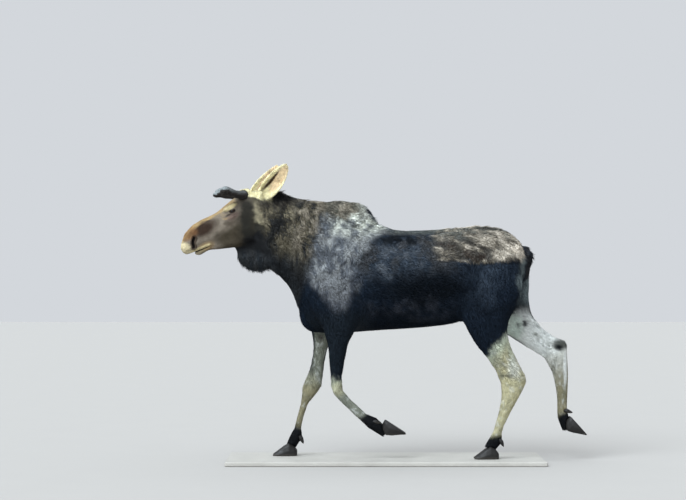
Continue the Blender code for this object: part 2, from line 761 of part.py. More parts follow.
def build():
    colours = finishes()
    forms = head_forms() + neck_forms() + bell_form() + trunk_forms() + tail_form()
    legs = (
        ("front_left", FORELEG_BENT, LEFT),
        ("front_right", FORELEG_PLANTED, RIGHT),
        ("hind_left", HINDLEG_PLANTED, LEFT),
        ("hind_right", HINDLEG_TRAILING, RIGHT),
    )
    forms += [leg_form(name, rows, side) for name, rows, side in legs]
    body = thin_out(fuse("flesh", forms, VOXEL, 7), FLESH_TRIANGLES, spared)

    hard = []
    for foot in FEET:
        for lateral, where in ((foot.side, "outer"), (-foot.side, "inner")):
            hard.append((f"hoof_{foot.name}_{where}", "horn", toe(foot, lateral)))
            hard.append((f"dewclaw_{foot.name}_{where}", "horn", dewclaw(foot, lateral)))
    for side, where in ((LEFT, "left"), (RIGHT, "right")):
        hard.append((f"eye_{where}", "eye", eye(side)))
        hard.append((f"antler_{where}", "velvet", antler(side)))
    for _, _, piece in hard:
        carve(body, piece)
    for side, where in ((LEFT, "left"), (RIGHT, "right")):
        beam = next(piece for name, _, piece in hard if name == f"antler_{where}")
        tine = part_off(beam, "tine", tine_cutter(side))
        hard.append((f"antler_{where}_tine", "velvet", tine))
    for cutter in mouth_and_nostrils():
        cut(body, cutter, "DIFFERENCE")
        bpy.data.objects.remove(cutter)

    ears = (
        ("ear_left", ear(*EARS[LEFT])),
        ("ear_right", ear(*EARS[RIGHT])),
    )
    for name, piece in ears:
        carve(piece, body)
        show(piece, name, colours["ear coat"])

    flesh = {"bell": part_off(body, "bell", bell_cutter())}
    flesh["jaw"] = part_off(body, "jaw", jaw_cutter())
    flesh["head"] = part_off(body, "head", head_cutter())
    flesh["neck"] = part_off(body, "neck", neck_cutter())
    flesh["tail"] = part_off(body, "tail", tail_cutter())
    joints = {  # x and z of the knee or hock, and how far the cut across it is turned
        "front_left": ((-0.415, 0.520), 0.10),
        "front_right": ((-0.610, 0.500), -0.10),
        "hind_left": ((0.810, 0.560), 0.25),
        "hind_right": ((1.120, 0.770), -0.65),
    }
    for name, _, side in legs:
        flesh[f"leg_{name}_upper"] = part_off(body, name, leg_cutter(side, name.startswith("front")))
    for name, _, side in legs:
        upper = flesh[f"leg_{name}_upper"]
        flesh[f"leg_{name}_lower"] = part_off(upper, name, lower_leg_cutter(side, *joints[name]))
    flesh["trunk"] = body

    coats = {"head": "brown coat", "jaw": "brown coat", "neck": "grey coat", "bell": "dark coat"}
    for name, piece in flesh.items():
        lower = name.endswith("lower")
        show(piece, name, colours[coats.get(name, "pale coat" if lower else "dark coat")])
    for name, colour, piece in hard:
        show(piece, name, colours[colour])
    base().data.materials.append(colours["base"])


def collection(name):
    made = bpy.data.collections.new(name)
    bpy.context.scene.collection.children.link(made)
    return made


for leftover in list(bpy.data.objects):
    bpy.data.objects.remove(leftover)
shown = collection("moose")
scratch = collection("cutters and forms")
lifted = bpy.data.objects.new("on_the_base", None)
shown.objects.link(lifted)
lifted.location = (-BASE_CENTRE_X, 0, BASE_THICKNESS + GAP)
build()
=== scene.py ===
"""A young bull moose in its spring moult, trotting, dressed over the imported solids.

One skin stands for every solid of flesh. Short coat, moulting wool and long hair are tapered tufts of
solid mesh rooted on that skin. Skin and tufts take their markings from one function of place.
"""
import math
from collections import namedtuple

import bmesh
import bpy
import numpy as np
from mathutils import Matrix, Vector
from mathutils.bvhtree import BVHTree


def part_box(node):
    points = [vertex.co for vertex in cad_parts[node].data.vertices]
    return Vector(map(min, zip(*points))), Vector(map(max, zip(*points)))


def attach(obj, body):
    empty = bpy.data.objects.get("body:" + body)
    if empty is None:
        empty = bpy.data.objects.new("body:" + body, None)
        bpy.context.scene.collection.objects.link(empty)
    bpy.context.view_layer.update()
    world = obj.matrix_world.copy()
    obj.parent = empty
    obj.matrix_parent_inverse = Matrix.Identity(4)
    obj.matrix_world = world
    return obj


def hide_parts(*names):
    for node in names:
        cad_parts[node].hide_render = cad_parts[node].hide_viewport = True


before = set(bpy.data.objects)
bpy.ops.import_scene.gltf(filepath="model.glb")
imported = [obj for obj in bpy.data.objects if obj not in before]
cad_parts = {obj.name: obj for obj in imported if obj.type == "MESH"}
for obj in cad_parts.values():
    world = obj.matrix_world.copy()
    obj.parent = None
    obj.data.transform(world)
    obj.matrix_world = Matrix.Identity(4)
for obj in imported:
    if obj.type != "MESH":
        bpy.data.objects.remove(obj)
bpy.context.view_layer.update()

SIDES = {"left": -1, "right": 1}  # the sign of y on each side
random = np.random.default_rng(1897)

# ---- Driving sizes, in metres ----------------------------------------------------------------
SKIN_CELL = 0.005  # size of one face of the skin, before it is thinned out
SKIN_KEPT = 0.27  # share of the skin's faces that stay
HEAD_SPARED = 0.000002  # how strongly that thinning keeps off the head
FACE_WEIGHT = 0.1  # how much of it the face and ears take
FACE_FROM = -0.06  # where the face starts, ahead of the poll
EARS_FROM = -0.36  # the ears are ahead of this, and above the next
EARS_ABOVE = 0.03
RELAX_ROUNDS = 40
BLEND_EASE = 0.7  # how softly, and over how many faces, one region of the coat turns into the next
BLEND_ROUNDS = 8
EYE_RADIUS = 0.0205
EYE_SLANT = 24  # degrees that the eye's long axis is turned up from the line of the face
MUZZLE_FROM = 0.42  # how far ahead of the poll the skin's faces turn finer
MUZZLE_BLEND = 0.02
MUZZLE_EASE = 0.4  # how much those finer faces are relaxed, and how often
MUZZLE_ROUNDS = 4
EYE_AREA = 0.070  # how far round each eye they turn finer too
LID_REACH = 0.034  # how far from the eye's middle the lids' folds begin
LID_THICKNESS = 0.0026
# The folds from the face to the lid's edge: how far along each lies, and how far it stands out.
LID_FOLDS = ((0.15, 0.0005), (0.32, 0.0016), (0.46, 0.0004), (0.58, -0.0008), (0.70, 0.0006),
             (0.82, 0.0014), (0.92, 0.0010), (1.0, 0.0))
LID_TUCK = 0.97  # the lids' edges end this far out, as a share of the eye's radius
LID_HALF_LENGTH = 0.86  # half the length of the open eye, and its height above and below, in such shares
UPPER_LID = 0.50
LOWER_LID = 0.40
LID_PINCH = 0.25  # how much lower the opening is towards its corners
CORNEA_EDGE = 0.72  # where the cornea starts, as the cosine of its angle from the gaze
CORNEA_RISE = 0.05
GAZE_AHEAD = 0.30  # how much the eyes look forward and up for each 1 that they look sideways
GAZE_UP = 0.04
HEAD_PITCH = math.radians(31.3)  # the nose hangs this far below the level
EYE_FORWARD = 0.222  # the eyes' place in head measures: ahead of the poll, and above its line
EYE_UP = 0.056

CAMERA_DISTANCE = 14.5
CAMERA_HEIGHT = 1.33
VIEW_WIDTH = 4.802  # width of what the camera takes in, at the animal's midline
AIM_X = -0.294
AIM_Z = 1.479
FLOOR_REACH = 40.0
FLOOR_DROP = 0.0006  # how far the floor is below the base, so that the two don't flicker
# The lamps: where each stands, how wide it is across the sky in degrees, and its strength.
LAMPS = {
    "key": ((-3.6, -5.0, 5.4), 40, 3.9),
    "sky": ((0.1, 0.4, 6.0), 80, 1.8),
    "fill": ((-1.6, -6.0, 1.6), 60, 1.0),
}

# How the coat grows in each region. depth: how far the skin lies inside the solids. ease: how much the
# skin is relaxed. length and width: of one tuft. lift: how steeply it leaves the skin. gap: from one
# root to the next.
Region = namedtuple("Region", "depth ease length width lift gap")
REGIONS = {
    "trunk": Region(0.0060, 0.60, 0.030, 0.0036, 0.15, 0.0052),
    "neck": Region(0.0080, 0.50, 0.038, 0.0038, 0.19, 0.0058),
    "bell": Region(0.0080, 0.12, 0.048, 0.0040, 0.20, 0.0050),
    "tail": Region(0.0060, 0.06, 0.034, 0.0036, 0.16, 0.0046),
    "thigh": Region(0.0050, 0.35, 0.026, 0.0034, 0.15, 0.0052),
    "shank": Region(0.0030, 0.06, 0.015, 0.0024, 0.16, 0.0040),
    "head": Region(0.0022, 0.05, 0.010, 0.0018, 0.14, 0.0032),
    "ear": Region(0.0008, 0.02, 0.012, 0.0018, 0.14, 0.0034),
}
REGION_NAMES = list(REGIONS)
LONG_REGIONS = ("neck", "bell", "tail")  # where every tuft bends on its way to the tip
RAGGED = 0.22  # how ragged the coat is where tufts bend in the other regions

# The bones that the coat of each leg follows down, as (x, z) of its joints from the top.
LEG_JOINTS = {
    "leg_front_left": ((-0.34, 1.13), (-0.33, 0.83), (-0.34, 0.54), (-0.15, 0.32), (-0.04, 0.24)),
    "leg_front_right": ((-0.38, 1.12), (-0.44, 0.83), (-0.51, 0.53), (-0.61, 0.23), (-0.65, 0.13)),
    "leg_hind_left": ((0.72, 1.30), (0.74, 0.83), (0.88, 0.57), (0.84, 0.40), (0.75, 0.10)),
    "leg_hind_right": ((0.78, 1.29), (0.88, 1.00), (1.20, 0.77), (1.24, 0.49), (1.275, 0.22)),
}

HIND_FROM = 0.25  # the legs behind this x are hind legs
LEG_MIDDLE = 0.145  # how far from the midline the middle of a lower leg is
# The way the hair points where it hangs or lies one way, on the head before the head's own turn.
HAIR_WAYS = {"neck": (0.55, 0, -1), "bell": (0.30, 0, -1), "tail": (0.25, 0, -1), "head": (1, 0, -0.18)}

# Where each leg's pale stocking starts, on its outer and inner face, and where its dark foot starts, as
# distances down the bones. tilt: how much lower it starts for each metre forward of middle_x. high and
# low: its colours above and below the knee or hock, and fade: how far one takes to turn into the other.
Stocking = namedtuple("Stocking", "upper outer inner foot middle_x tilt high low fade")
STOCKINGS = {
    "leg_front_left": Stocking("forearm", 0.545, 0.25, 0.860, -0.34, 0.0, "leg_pale", "leg_olive", 0.12),
    "leg_front_right": Stocking("forearm", 0.51, 0.23, 0.90, -0.46, 0.0, "leg_olive", "leg_tan", 0.12),
    "leg_hind_left": Stocking("slate", 0.47, 0.25, 1.155, 0.76, 0.9, "leg_green", "leg_yellow", 0.12),
    "leg_hind_right": Stocking("slate", 0.47, 0.22, 1.190, 1.00, 0.5, "leg_white", "leg_tan", 0.47),
}
# Spots on the stockings: (x, z), half sizes, colour and strength.
SPOTS = {
    "leg_front_left": (((-0.330, 0.520), (0.045, 0.050), "leg_yellow", 0.5),),
    "leg_front_right": (
        ((-0.530, 0.540), (0.060, 0.085), "leg_yellow", 0.25),
        # Painted shadow down the front edge of the far foreleg.
        ((-0.520, 0.660), (0.025, 0.060), "leg_dark", 0.6),
        ((-0.450, 0.865), (0.020, 0.018), "back_brown", 0.8),
    ),
    "leg_hind_left": (
        ((0.870, 0.800), (0.030, 0.130), "leg_pale", 0.8),
        ((0.885, 0.670), (0.050, 0.075), "leg_white", 0.45),
        # Painted shade in the crease of the hock.
        ((0.830, 0.612), (0.050, 0.014), "leg_dark", 0.6),
        ((0.770, 0.700), (0.045, 0.040), "leg_olive", 0.5),
    ),
    "leg_hind_right": (
        ((0.895, 0.940), (0.070, 0.095), "leg_blue", 0.9),
        ((0.980, 0.967), (0.018, 0.022), "belly", 0.95),
        ((0.932, 0.956), (0.010, 0.014), "belly", 0.8),
        ((1.057, 0.889), (0.016, 0.013), "leg_grey", 0.9),
        ((1.238, 0.815), (0.062, 0.036), "leg_dark", 0.9),
        ((1.222, 0.795), (0.030, 0.020), "belly", 0.9),
        ((1.272, 0.640), (0.012, 0.120), "leg_white", 0.8),
    ),
}

EAR_LENGTH = 0.278
EAR_ROOT = {"left": (-0.019, 0.039, -0.118), "right": (0.008, 0.062, 0.094)}
EAR_REACH = {"left": (0.236, -0.110, 0.094), "right": (0.255, 0.084, 0.080)}  # root to tip, on the head
# The dark hollow inside each ear: how far along it lies, how far ahead, and its half sizes.
EAR_HOLLOW = {"left": (0.38, 0.031, 0.36, 0.0105), "right": (0.20, 0.004, 0.22, 0.022)}
EAR_TURN = {"left": 1, "right": -1}  # which way across the ear its front edge is
EAR_FACING = {"left": (-0.30, -1.0, 0.25), "right": (-0.45, -0.85, 0.20)}  # the way each opens

COAT_GAP = 1.0  # the gap between roots, as a share of its final size
PIECE_TRIANGLES = 190000
BAKE_PATCH = 0.003  # the side of a tuft's patch on the baking map
HAIR_WIDTH = 0.0006  # of one hair's streak on a tuft, twice a real hair's so that it shows
HAIR_STREAK = 0.015  # how long such a streak is
ANTLER_CELL = 0.0030  # size of one face of an antler, and of a hoof
HORN_CELL = 0.0030
ANTLER_LUMPS = ((0.022, 91, 0.0030), (0.008, 92, 0.0012))  # how wide they are, their seed and height
NAP_GAP = 0.0026  # the gap between roots on the velvet
NAP_LENGTHS = (0.0025, 0.0055)
NAP_WIDTHS = (0.0006, 0.0011)
NAP_LIFTS = (0.4, 1.1)
NAP_SHADES = (0.80, 1.35)
NAP_DEPTH = 0.0012  # how far the velvet's skin lies inside the solids
NAP_STRAY = 0.5  # how far a tuft of it strays from the way out, and how far it bends
NAP_SWAY = 0.1
UNDER_NAP_SHADE = 0.8  # painted shade: how much darker the velvet's skin is, as in the shade under its nap
RING_STEP = 0.009  # from one growth ring of a hoof to the next
RING_DEPTH = 0.00025
HORN_INSET = 0.0002  # how far the horn lies inside its solid, so that its rings stay in it
SLOTS = {
    "trunk": "coat_dark",
    "neck": "coat_neck",
    "bell": "coat_dark",
    "tail": "coat_dark",
    "thigh": "coat_dark",
    "shank": "coat_pale",
    "head": "coat_face",
    "ear": "coat_ear",
}

# ---- Colours, as seen under even light, with painted light and shade among them ----------------
COLOURS = {
    # the trunk
    "slate": "131d29", "slate_light": "3c4652", "belly": "050b12", "silver": "9fa2a2",
    "silver_pale": "d0d3c8", "silver_dark": "666b71", "silver_low": "55575f", "rim_grey": "838f91",
    # moulting wool over the hump, back and croup
    # the grey along the top of the back and croup is painted light
    "wool_tan": "968e80", "wool_pale": "d2c9bb", "back_brown": "56524c", "back_grey": "646863",
    "hump_olive": "4b483d",
    # the neck and bell
    "neck_olive": "655e4e", "neck_pale": "a69d83", "neck_dark": "292d31", "bell_dark": "2b3137",
    # the face
    # the dark at the back of the cheek is painted shade
    "cheek": "82786b", "cheek_back": "292824", "cheek_olive": "443d31", "jaw_dark": "1c1d1f",
    # the nose's gold is partly its own, partly a painted highlight on its upward faces
    "nose_rust": "6f4f35", "nose_cream": "d0c3a0", "nose_gold": "ae9468", "muzzle_brown": "35261d",
    # the gold on the brow and along the upper lip's edge is a painted highlight
    "lid_pink": "6b5750", "brow_gold": "dacb9e", "bare_skin": "171413", "eyelid": "120f0e",
    # the ears
    "ear_gold": "f8efc2", "ear_hollow": "463524", "ear_tan": "ddc6a0", "ear_back": "7d6f59",
    # the legs
    "forearm": "192129", "leg_pale": "c0c4ae", "leg_yellow": "bab492", "leg_white": "e6e9e6",
    "leg_blue": "cad7cd", "leg_olive": "7f8276", "leg_grey": "6a6e64", "leg_green": "c2c9b5",
    "leg_tan": "857f66", "leg_dark": "3a3d38", "foot": "101215",
    # the eyes
    "iris": "2d1c13", "iris_dark": "1a120d", "pupil": "07070a", "eye_rim": "2f241f",
    # antlers and hooves
    # the velvet's pale grey is painted light on its upward faces
    "velvet": "9ba2a3", "velvet_dark": "251f1d", "horn": "161514", "horn_worn": "3a3631",
    # base, floor, backdrop and light
    "board": "aaa7a0", "board_edge": "96938c", "floor": "9f9c98", "backdrop": "d3d7dc",
    "daylight": "edf7ff",
}


def linear(name):
    """A named colour as the linear red, green and blue that Blender mixes."""
    code = COLOURS[name]
    parts = (int(code[i:i + 2], 16) / 255 for i in (0, 2, 4))
    return np.array([p / 12.92 if p <= 0.04045 else ((p + 0.055) / 1.055) ** 2.4 for p in parts])


# ---- Fields: soft steps and clouds over many points at once --------------------------------------
def ramp(values, low, high):
    """0 below low and 1 above high, with a soft step between. low may be the greater."""
    t = np.clip((values - low) / (high - low), 0, 1)
    return t * t * (3 - 2 * t)


def lattice(cells, seed):
    """A fixed number from 0 to 1 for each whole-numbered cell."""
    mixed = cells.astype(np.int64) @ np.array((73856093, 19349663, 83492791)) + seed * 7919
    mixed = ((mixed ^ (mixed >> 13)) & 0x7FFFFFFF) * 1274126177
    return ((mixed >> 11) & 0xFFFF) / 65535


def cloud(points, size, seed=0, stretch=(1, 1, 1), octaves=3):
    """Soft noise from 0 to 1 with blobs of about that size, longer along an axis by its stretch."""
    total = np.zeros(len(points))
    weight = 0.0
    for octave in range(octaves):
        place = points / (size * np.array(stretch)) * 2 ** octave + 17.3 * (octave + seed)
        cell = np.floor(place)
        part = place - cell
        part = part * part * (3 - 2 * part)
        for corner in np.ndindex(2, 2, 2):
            share = np.prod(np.where(corner, part, 1 - part), axis=1)
            total += share * lattice(cell + corner, seed + octave) * 0.6 ** octave
        weight += 0.6 ** octave
    return np.clip((total / weight - 0.5) * 1.6 + 0.5, 0, 1)


def unit(vectors):
    """The vectors at length 1."""
    return vectors / np.maximum(np.linalg.norm(vectors, axis=1, keepdims=True), 1e-9)


def along(vectors, normals):
    """The vectors laid flat on the surface with those normals, at length 1."""
    return unit(vectors - normals * np.sum(vectors * normals, axis=1, keepdims=True))


# ---- The head's own measures ---------------------------------------------------------------------
def middle(node):
    """The middle of a solid's box."""
    low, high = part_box(node)
    return (Vector(low) + Vector(high)) / 2


def find_head_place():
    """Where the poll is and how the head is turned, from the two eyes."""
    eyes = {side: middle(f"eye_{side}") for side in SIDES}
    across = eyes["right"] - eyes["left"]
    yaw = math.atan2(-across.x, across.y)
    turn = Matrix.Rotation(yaw, 4, "Z") @ Matrix.Rotation(-HEAD_PITCH, 4, "Y")
    between = (eyes["left"] + eyes["right"]) / 2
    return Matrix.Translation(between) @ turn @ Matrix.Translation((EYE_FORWARD, 0, -EYE_UP))


HEAD_PLACE = find_head_place()


def on_head(forward, up, side=0.0):
    """The point that far ahead of the poll, above its line and to the animal's right."""
    return HEAD_PLACE @ Vector((-forward, side, up))


def head_measures(points):
    """How far ahead of the poll, above its line and to the animal's right each point is."""
    back = np.array(HEAD_PLACE.inverted())
    local = points @ back[:3, :3].T + back[:3, 3]
    return -local[:, 0], local[:, 2], local[:, 1]


def from_eye(points, side):
    """How far each point is from the middle of that eye."""
    return np.linalg.norm(points - np.array(middle(f"eye_{side}")), axis=1)


# ---- The skin ------------------------------------------------------------------------------------
def region_of(node):
    """The region of the coat that a solid belongs to."""
    if node.endswith("_upper"):
        return "thigh"
    if node.endswith("_lower"):
        return "shank"
    if node == "jaw":
        return "head"
    return node.split("_")[0]


FLESH = [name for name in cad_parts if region_of(name) in REGIONS]


def joined_solids(nodes, name):
    """A new object with the meshes of those solids side by side."""
    gathered = bmesh.new()
    for node in nodes:
        gathered.from_mesh(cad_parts[node].data)
    mesh = bpy.data.meshes.new(name)
    gathered.to_mesh(mesh)
    gathered.free()
    mesh.materials.clear()
    return add_object(name, mesh)


def add_object(name, data):
    """A new object in the scene for that mesh, lens or lamp."""
    added = bpy.data.objects.new(name, data)
    bpy.context.collection.objects.link(added)
    return added


def apply_modifiers(piece):
    """The piece's modifiers become part of its mesh."""
    view = bpy.context.evaluated_depsgraph_get()
    changed = bpy.data.meshes.new_from_object(piece.evaluated_get(view))
    old = piece.data
    piece.modifiers.clear()
    piece.data = changed
    bpy.data.meshes.remove(old)
    changed.name = piece.name


def remesh(piece, cell):
    """One closed surface round everything in the piece, with faces of that size."""
    closed = piece.modifiers.new("closed", "REMESH")
    closed.mode = "VOXEL"
    closed.voxel_size = cell
    apply_modifiers(piece)


def rounded_solids(nodes, name, cell, share, rounds):
    """Those solids closed into one piece and rounded off, and where its points are."""
    piece = joined_solids(nodes, name)
    remesh(piece, cell)
    points = Neighbours(piece.data).relax(read_points(piece.data), share, rounds)
    write_points(piece.data, points)
    return piece, points


def read_all(items, field, width, kind=float):
    """That field of all the items, as an array with one row for each."""
    values = np.empty(len(items) * width, dtype=kind)
    items.foreach_get(field, values)
    return values.reshape(-1, width)


def read_points(mesh):
    """Where the mesh's points are."""
    return read_all(mesh.vertices, "co", 3)


def write_points(mesh, points):
    """Moves the mesh's points."""
    mesh.vertices.foreach_set("co", points.ravel())
    mesh.update()


def read_normals(mesh):
    """The way the surface faces at each point."""
    return read_all(mesh.vertex_normals, "vector", 3)


def swell(mesh, points, heights):
    """Moves each point out from where it is by its own height, and gives the new places."""
    points = points + read_normals(mesh) * heights[:, None]
    write_points(mesh, points)
    return points


def colour_points(mesh, colour):
    """Keeps the colour of each point on the mesh, where the materials read it."""
    paint = mesh.color_attributes.new("markings", "FLOAT_COLOR", "POINT")
    paint.data.foreach_set("color", np.hstack([colour, np.ones((len(colour), 1))]).ravel())


class Neighbours:
    """Averages over the points that share an edge with each point of a mesh."""

    def __init__(self, mesh):
        self.edges = read_all(mesh.edges, "vertices", 2, np.int64)
        self.count = np.maximum(np.bincount(self.edges.ravel(), minlength=len(mesh.vertices)), 1)

    def mean(self, values):
        """The mean of each point's neighbours."""
        a, b = self.edges.T
        size = len(self.count)
        columns = [
            np.bincount(a, each[b], size) + np.bincount(b, each[a], size)
            for each in values.reshape(size, -1).T
        ]
        return (np.array(columns).T / self.count[:, None]).reshape(values.shape)

    def relax(self, values, share, rounds):
        """Moves the values that share of the way to their neighbours' mean, so many times."""
        share = np.broadcast_to(share, len(values)).reshape(-1, *[1] * (values.ndim - 1))
        for _ in range(rounds):
            values = values + share * (self.mean(values) - values)
        return values


def nearest_nodes(points, nodes):
    """For each point, which of the nodes its nearest solid is."""
    corners = []
    faces = []
    owner = []
    for index, name in enumerate(nodes):
        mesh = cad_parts[name].data
        start = len(corners)
        corners.extend(vertex.co.copy() for vertex in mesh.vertices)
        faces.extend([start + v for v in polygon.vertices] for polygon in mesh.polygons)
        owner.extend([index] * len(mesh.polygons))
    tree = BVHTree.FromPolygons(corners, faces)
    return np.array([owner[tree.find_nearest(point)[2]] for point in points])


def thin_out(skin):
    """Fewer, larger faces on the body, while the head and ears keep most of theirs."""
    forward, up, _ = head_measures(read_points(skin.data))
    face_or_ear = (forward > FACE_FROM) | ((up > EARS_ABOVE) & (forward > EARS_FROM) & (forward < 0))
    coarse = skin.vertex_groups.new(name="coarse")
    for members, weight in ((face_or_ear, FACE_WEIGHT), (~face_or_ear, 1.0)):
        coarse.add(np.nonzero(members)[0].tolist(), weight, "REPLACE")
    fewer = skin.modifiers.new("fewer", "DECIMATE")
    fewer.ratio = SKIN_KEPT
    fewer.vertex_group = "coarse"
    fewer.vertex_group_factor = HEAD_SPARED
    apply_modifiers(skin)
    skin.vertex_groups.clear()


def make_skin():
    """One closed skin round all the flesh, relaxed, drawn in by the depth of the coat, with its lids."""
    skin = joined_solids(FLESH, "skin")
    remesh(skin, SKIN_CELL)
    thin_out(skin)
    shares = region_shares(skin)
    points = Neighbours(skin.data).relax(read_points(skin.data), shares @ column("ease"), RELAX_ROUNDS)
    write_points(skin.data, points)
    swell(skin.data, points, -(shares @ column("depth")))
    refine_face(skin)
    points = read_points(skin.data)
    swell(skin.data, points, face_relief(points))
    for side in SIDES:
        set_lids(skin, side)
    smooth_shading(skin)
    unwrap(skin)
    return skin


def refine_face(skin):
    """Smaller faces on the muzzle and round the eyes, where the forms are smallest."""
    points = read_points(skin.data)
    fine = head_measures(points)[0] > MUZZLE_FROM
    for side in SIDES:
        fine |= from_eye(points, side) < EYE_AREA
    body = bmesh.new()
    body.from_mesh(skin.data)
    edges = [e for e in body.edges if all(fine[v.index] for v in e.verts)]
    bmesh.ops.subdivide_edges(body, edges=edges, cuts=1, use_grid_fill=True)
    bmesh.ops.triangulate(body, faces=body.faces)
    body.to_mesh(skin.data)
    body.free()
    points = read_points(skin.data)
    muzzle = ramp(head_measures(points)[0], MUZZLE_FROM, MUZZLE_FROM + MUZZLE_BLEND)
    write_points(skin.data, Neighbours(skin.data).relax(points, MUZZLE_EASE * muzzle, MUZZLE_ROUNDS))


def mouth_line(forward):
    """How far above the head's line the lips meet, from the corner of the mouth to its front."""
    return np.interp(forward, (0.483, 0.60, 0.66), (-0.072, -0.054, -0.044))


def bulge(away, size):
    """1 where the distance is 0, falling away over about that size."""
    return np.exp(-((away / size) ** 2))


def face_relief(points):
    """How far the lips, nostrils, brows and bones of the face stand out from its plain form."""
    forward, up, across = head_measures(points)
    out = ramp(np.abs(across), 0.030, 0.050)
    relief = np.zeros(len(points))
    comma = nostril_distance(forward, up)
    relief += out * (0.0042 * bulge(comma - 0.016, 0.006) - 0.0130 * ramp(comma, 0.011, 0.003))
    above_lips = up - mouth_line(forward)
    lips = ramp(forward, 0.470, 0.495)
    relief += lips * 0.0034 * bulge(above_lips - 0.013, 0.008)
    relief += lips * 0.0028 * bulge(above_lips + 0.013, 0.008)
    relief -= lips * 0.0060 * bulge(above_lips, 0.004)
    corner = distance_to_line(forward, up, (0.478, -0.074), (0.452, -0.096))
    relief -= out * 0.0030 * bulge(corner, 0.005)
    relief += out * 0.0022 * bulge(corner - 0.012, 0.006)
    relief += 0.0050 * spot(forward, up, (0.218, 0.092), (0.050, 0.013), 0.7)
    relief -= out * 0.0045 * spot(forward, up, (0.276, 0.038), (0.024, 0.010), 0.7)
    crest = distance_to_line(forward, up, (0.270, 0.000), (0.430, -0.028))
    relief += out * 0.0035 * bulge(crest, 0.013)
    relief -= out * 0.0035 * spot(forward, up, (0.370, 0.036), (0.080, 0.020), 0.7)
    relief -= out * 0.0030 * spot(forward, up, (0.350, -0.075), (0.060, 0.026), 0.7)
    wrinkle = np.sin((forward - 0.35 * up) * math.tau / 0.016)
    relief += out * 0.0006 * wrinkle * spot(forward, up, (0.505, -0.020), (0.045, 0.040), 0.7)
    return relief


def region_shares(skin):
    """How much each point of the skin belongs to each region, blending over a few faces."""
    nodes = nearest_nodes(read_points(skin.data), FLESH)
    home = np.array([REGION_NAMES.index(region_of(name)) for name in FLESH])[nodes]
    return Neighbours(skin.data).relax(np.eye(len(REGIONS))[home], BLEND_EASE, BLEND_ROUNDS)


def column(name):
    """One column of the table of regions."""
    return np.array([getattr(region, name) for region in REGIONS.values()])


def smooth_shading(piece):
    """Shades the piece's faces as one smooth surface."""
    piece.data.polygons.foreach_set("use_smooth", [True] * len(piece.data.polygons))
    piece.data.update()


def unwrap(piece):
    """Lays the piece's own surface out flat, in the map that every tuft takes its place from."""
    bpy.ops.object.select_all(action="DESELECT")
    bpy.context.view_layer.objects.active = piece
    piece.select_set(True)
    bpy.ops.object.mode_set(mode="EDIT")
    bpy.ops.mesh.select_all(action="SELECT")
    bpy.ops.uv.smart_project(angle_limit=math.radians(66), island_margin=0.002)
    bpy.ops.object.mode_set(mode="OBJECT")
    piece.select_set(False)
    piece.data.uv_layers.active.name = "OFBake"


# ---- Eyes and lids -------------------------------------------------------------------------------
def gaze_frame(side):
    """The eye's middle, the way it looks, the way its long axis runs forward, and the way up."""
    turn = HEAD_PLACE.to_3x3()
    gaze = (turn @ Vector((-GAZE_AHEAD, SIDES[side], GAZE_UP))).normalized()
    slant = math.radians(EYE_SLANT)
    ahead = turn @ Vector((-math.cos(slant), 0, math.sin(slant)))
    ahead = (ahead - gaze * ahead.dot(gaze)).normalized()
    return middle(f"eye_{side}"), gaze, ahead, ahead.cross(gaze) * -SIDES[side]


def lid_edge(angle):
    """The almond of the open eye, as (ahead, above) shares of the eye's radius."""
    height = UPPER_LID if math.sin(angle) > 0 else LOWER_LID
    pinch = 1 - LID_PINCH * math.cos(angle) ** 2
    return LID_HALF_LENGTH * math.cos(angle), height * math.sin(angle) * pinch


def walk_rim(body, centre, reach):
    """The points round the hole that was cut about that centre, in order."""
    rim = [e for e in body.edges if e.is_boundary and (e.verts[0].co - centre).length < reach]
    first = rim[0].verts[0]
    order = [first]
    edge = rim[0]
    while True:
        point = edge.other_vert(order[-1])
        if point is first:
            return order
        order.append(point)
        edge = next(e for e in point.link_edges if e.is_boundary and e is not edge)


def set_lids(skin, side):
    """Cuts the skin open at the eye and folds it into an upper and a lower lid that hold the ball."""
    centre, gaze, ahead, above = gaze_frame(side)
    body = bmesh.new()
    body.from_mesh(skin.data)
    near = [f for f in body.faces if (f.calc_center_median() - centre).length < LID_REACH]
    bmesh.ops.delete(body, geom=near, context="FACES")
    jagged = [e for e in body.edges if e.is_boundary]
    bmesh.ops.subdivide_edges(body, edges=jagged, cuts=1)
    rim = walk_rim(body, centre, 2 * LID_REACH)
    turns = [math.atan2((v.co - centre).dot(above), (v.co - centre).dot(ahead)) for v in rim]
    sense = 1 if math.sin(turns[1] - turns[0] + turns[3] - turns[2]) > 0 else -1
    step = sense * math.tau / len(rim)
    over_ball = EYE_RADIUS + LID_THICKNESS
    rings = [rim]
    for share, lift in LID_FOLDS:
        ring = []
        for index, outer in enumerate(rim):
            a, b = lid_edge(turns[0] + step * index)
            edge = ahead * a + above * b + gaze * math.sqrt(max(1 - a * a - b * b, 0))
            place = outer.co.lerp(centre + edge * over_ball, share)
            out = place - centre
            if out.length < over_ball:
                place = centre + out.normalized() * over_ball
            ring.append(body.verts.new(place + gaze * lift))
        rings.append(ring)
    inside = EYE_RADIUS * LID_TUCK
    rings.append([body.verts.new(centre + (v.co - centre).normalized() * inside) for v in rings[-1]])
    for outer_ring, inner_ring in zip(rings, rings[1:]):
        for i in range(len(rim)):
            j = (i + 1) % len(rim)
            body.faces.new((outer_ring[i], outer_ring[j], inner_ring[j], inner_ring[i]))
    bmesh.ops.recalc_face_normals(body, faces=body.faces)
    body.to_mesh(skin.data)
    body.free()


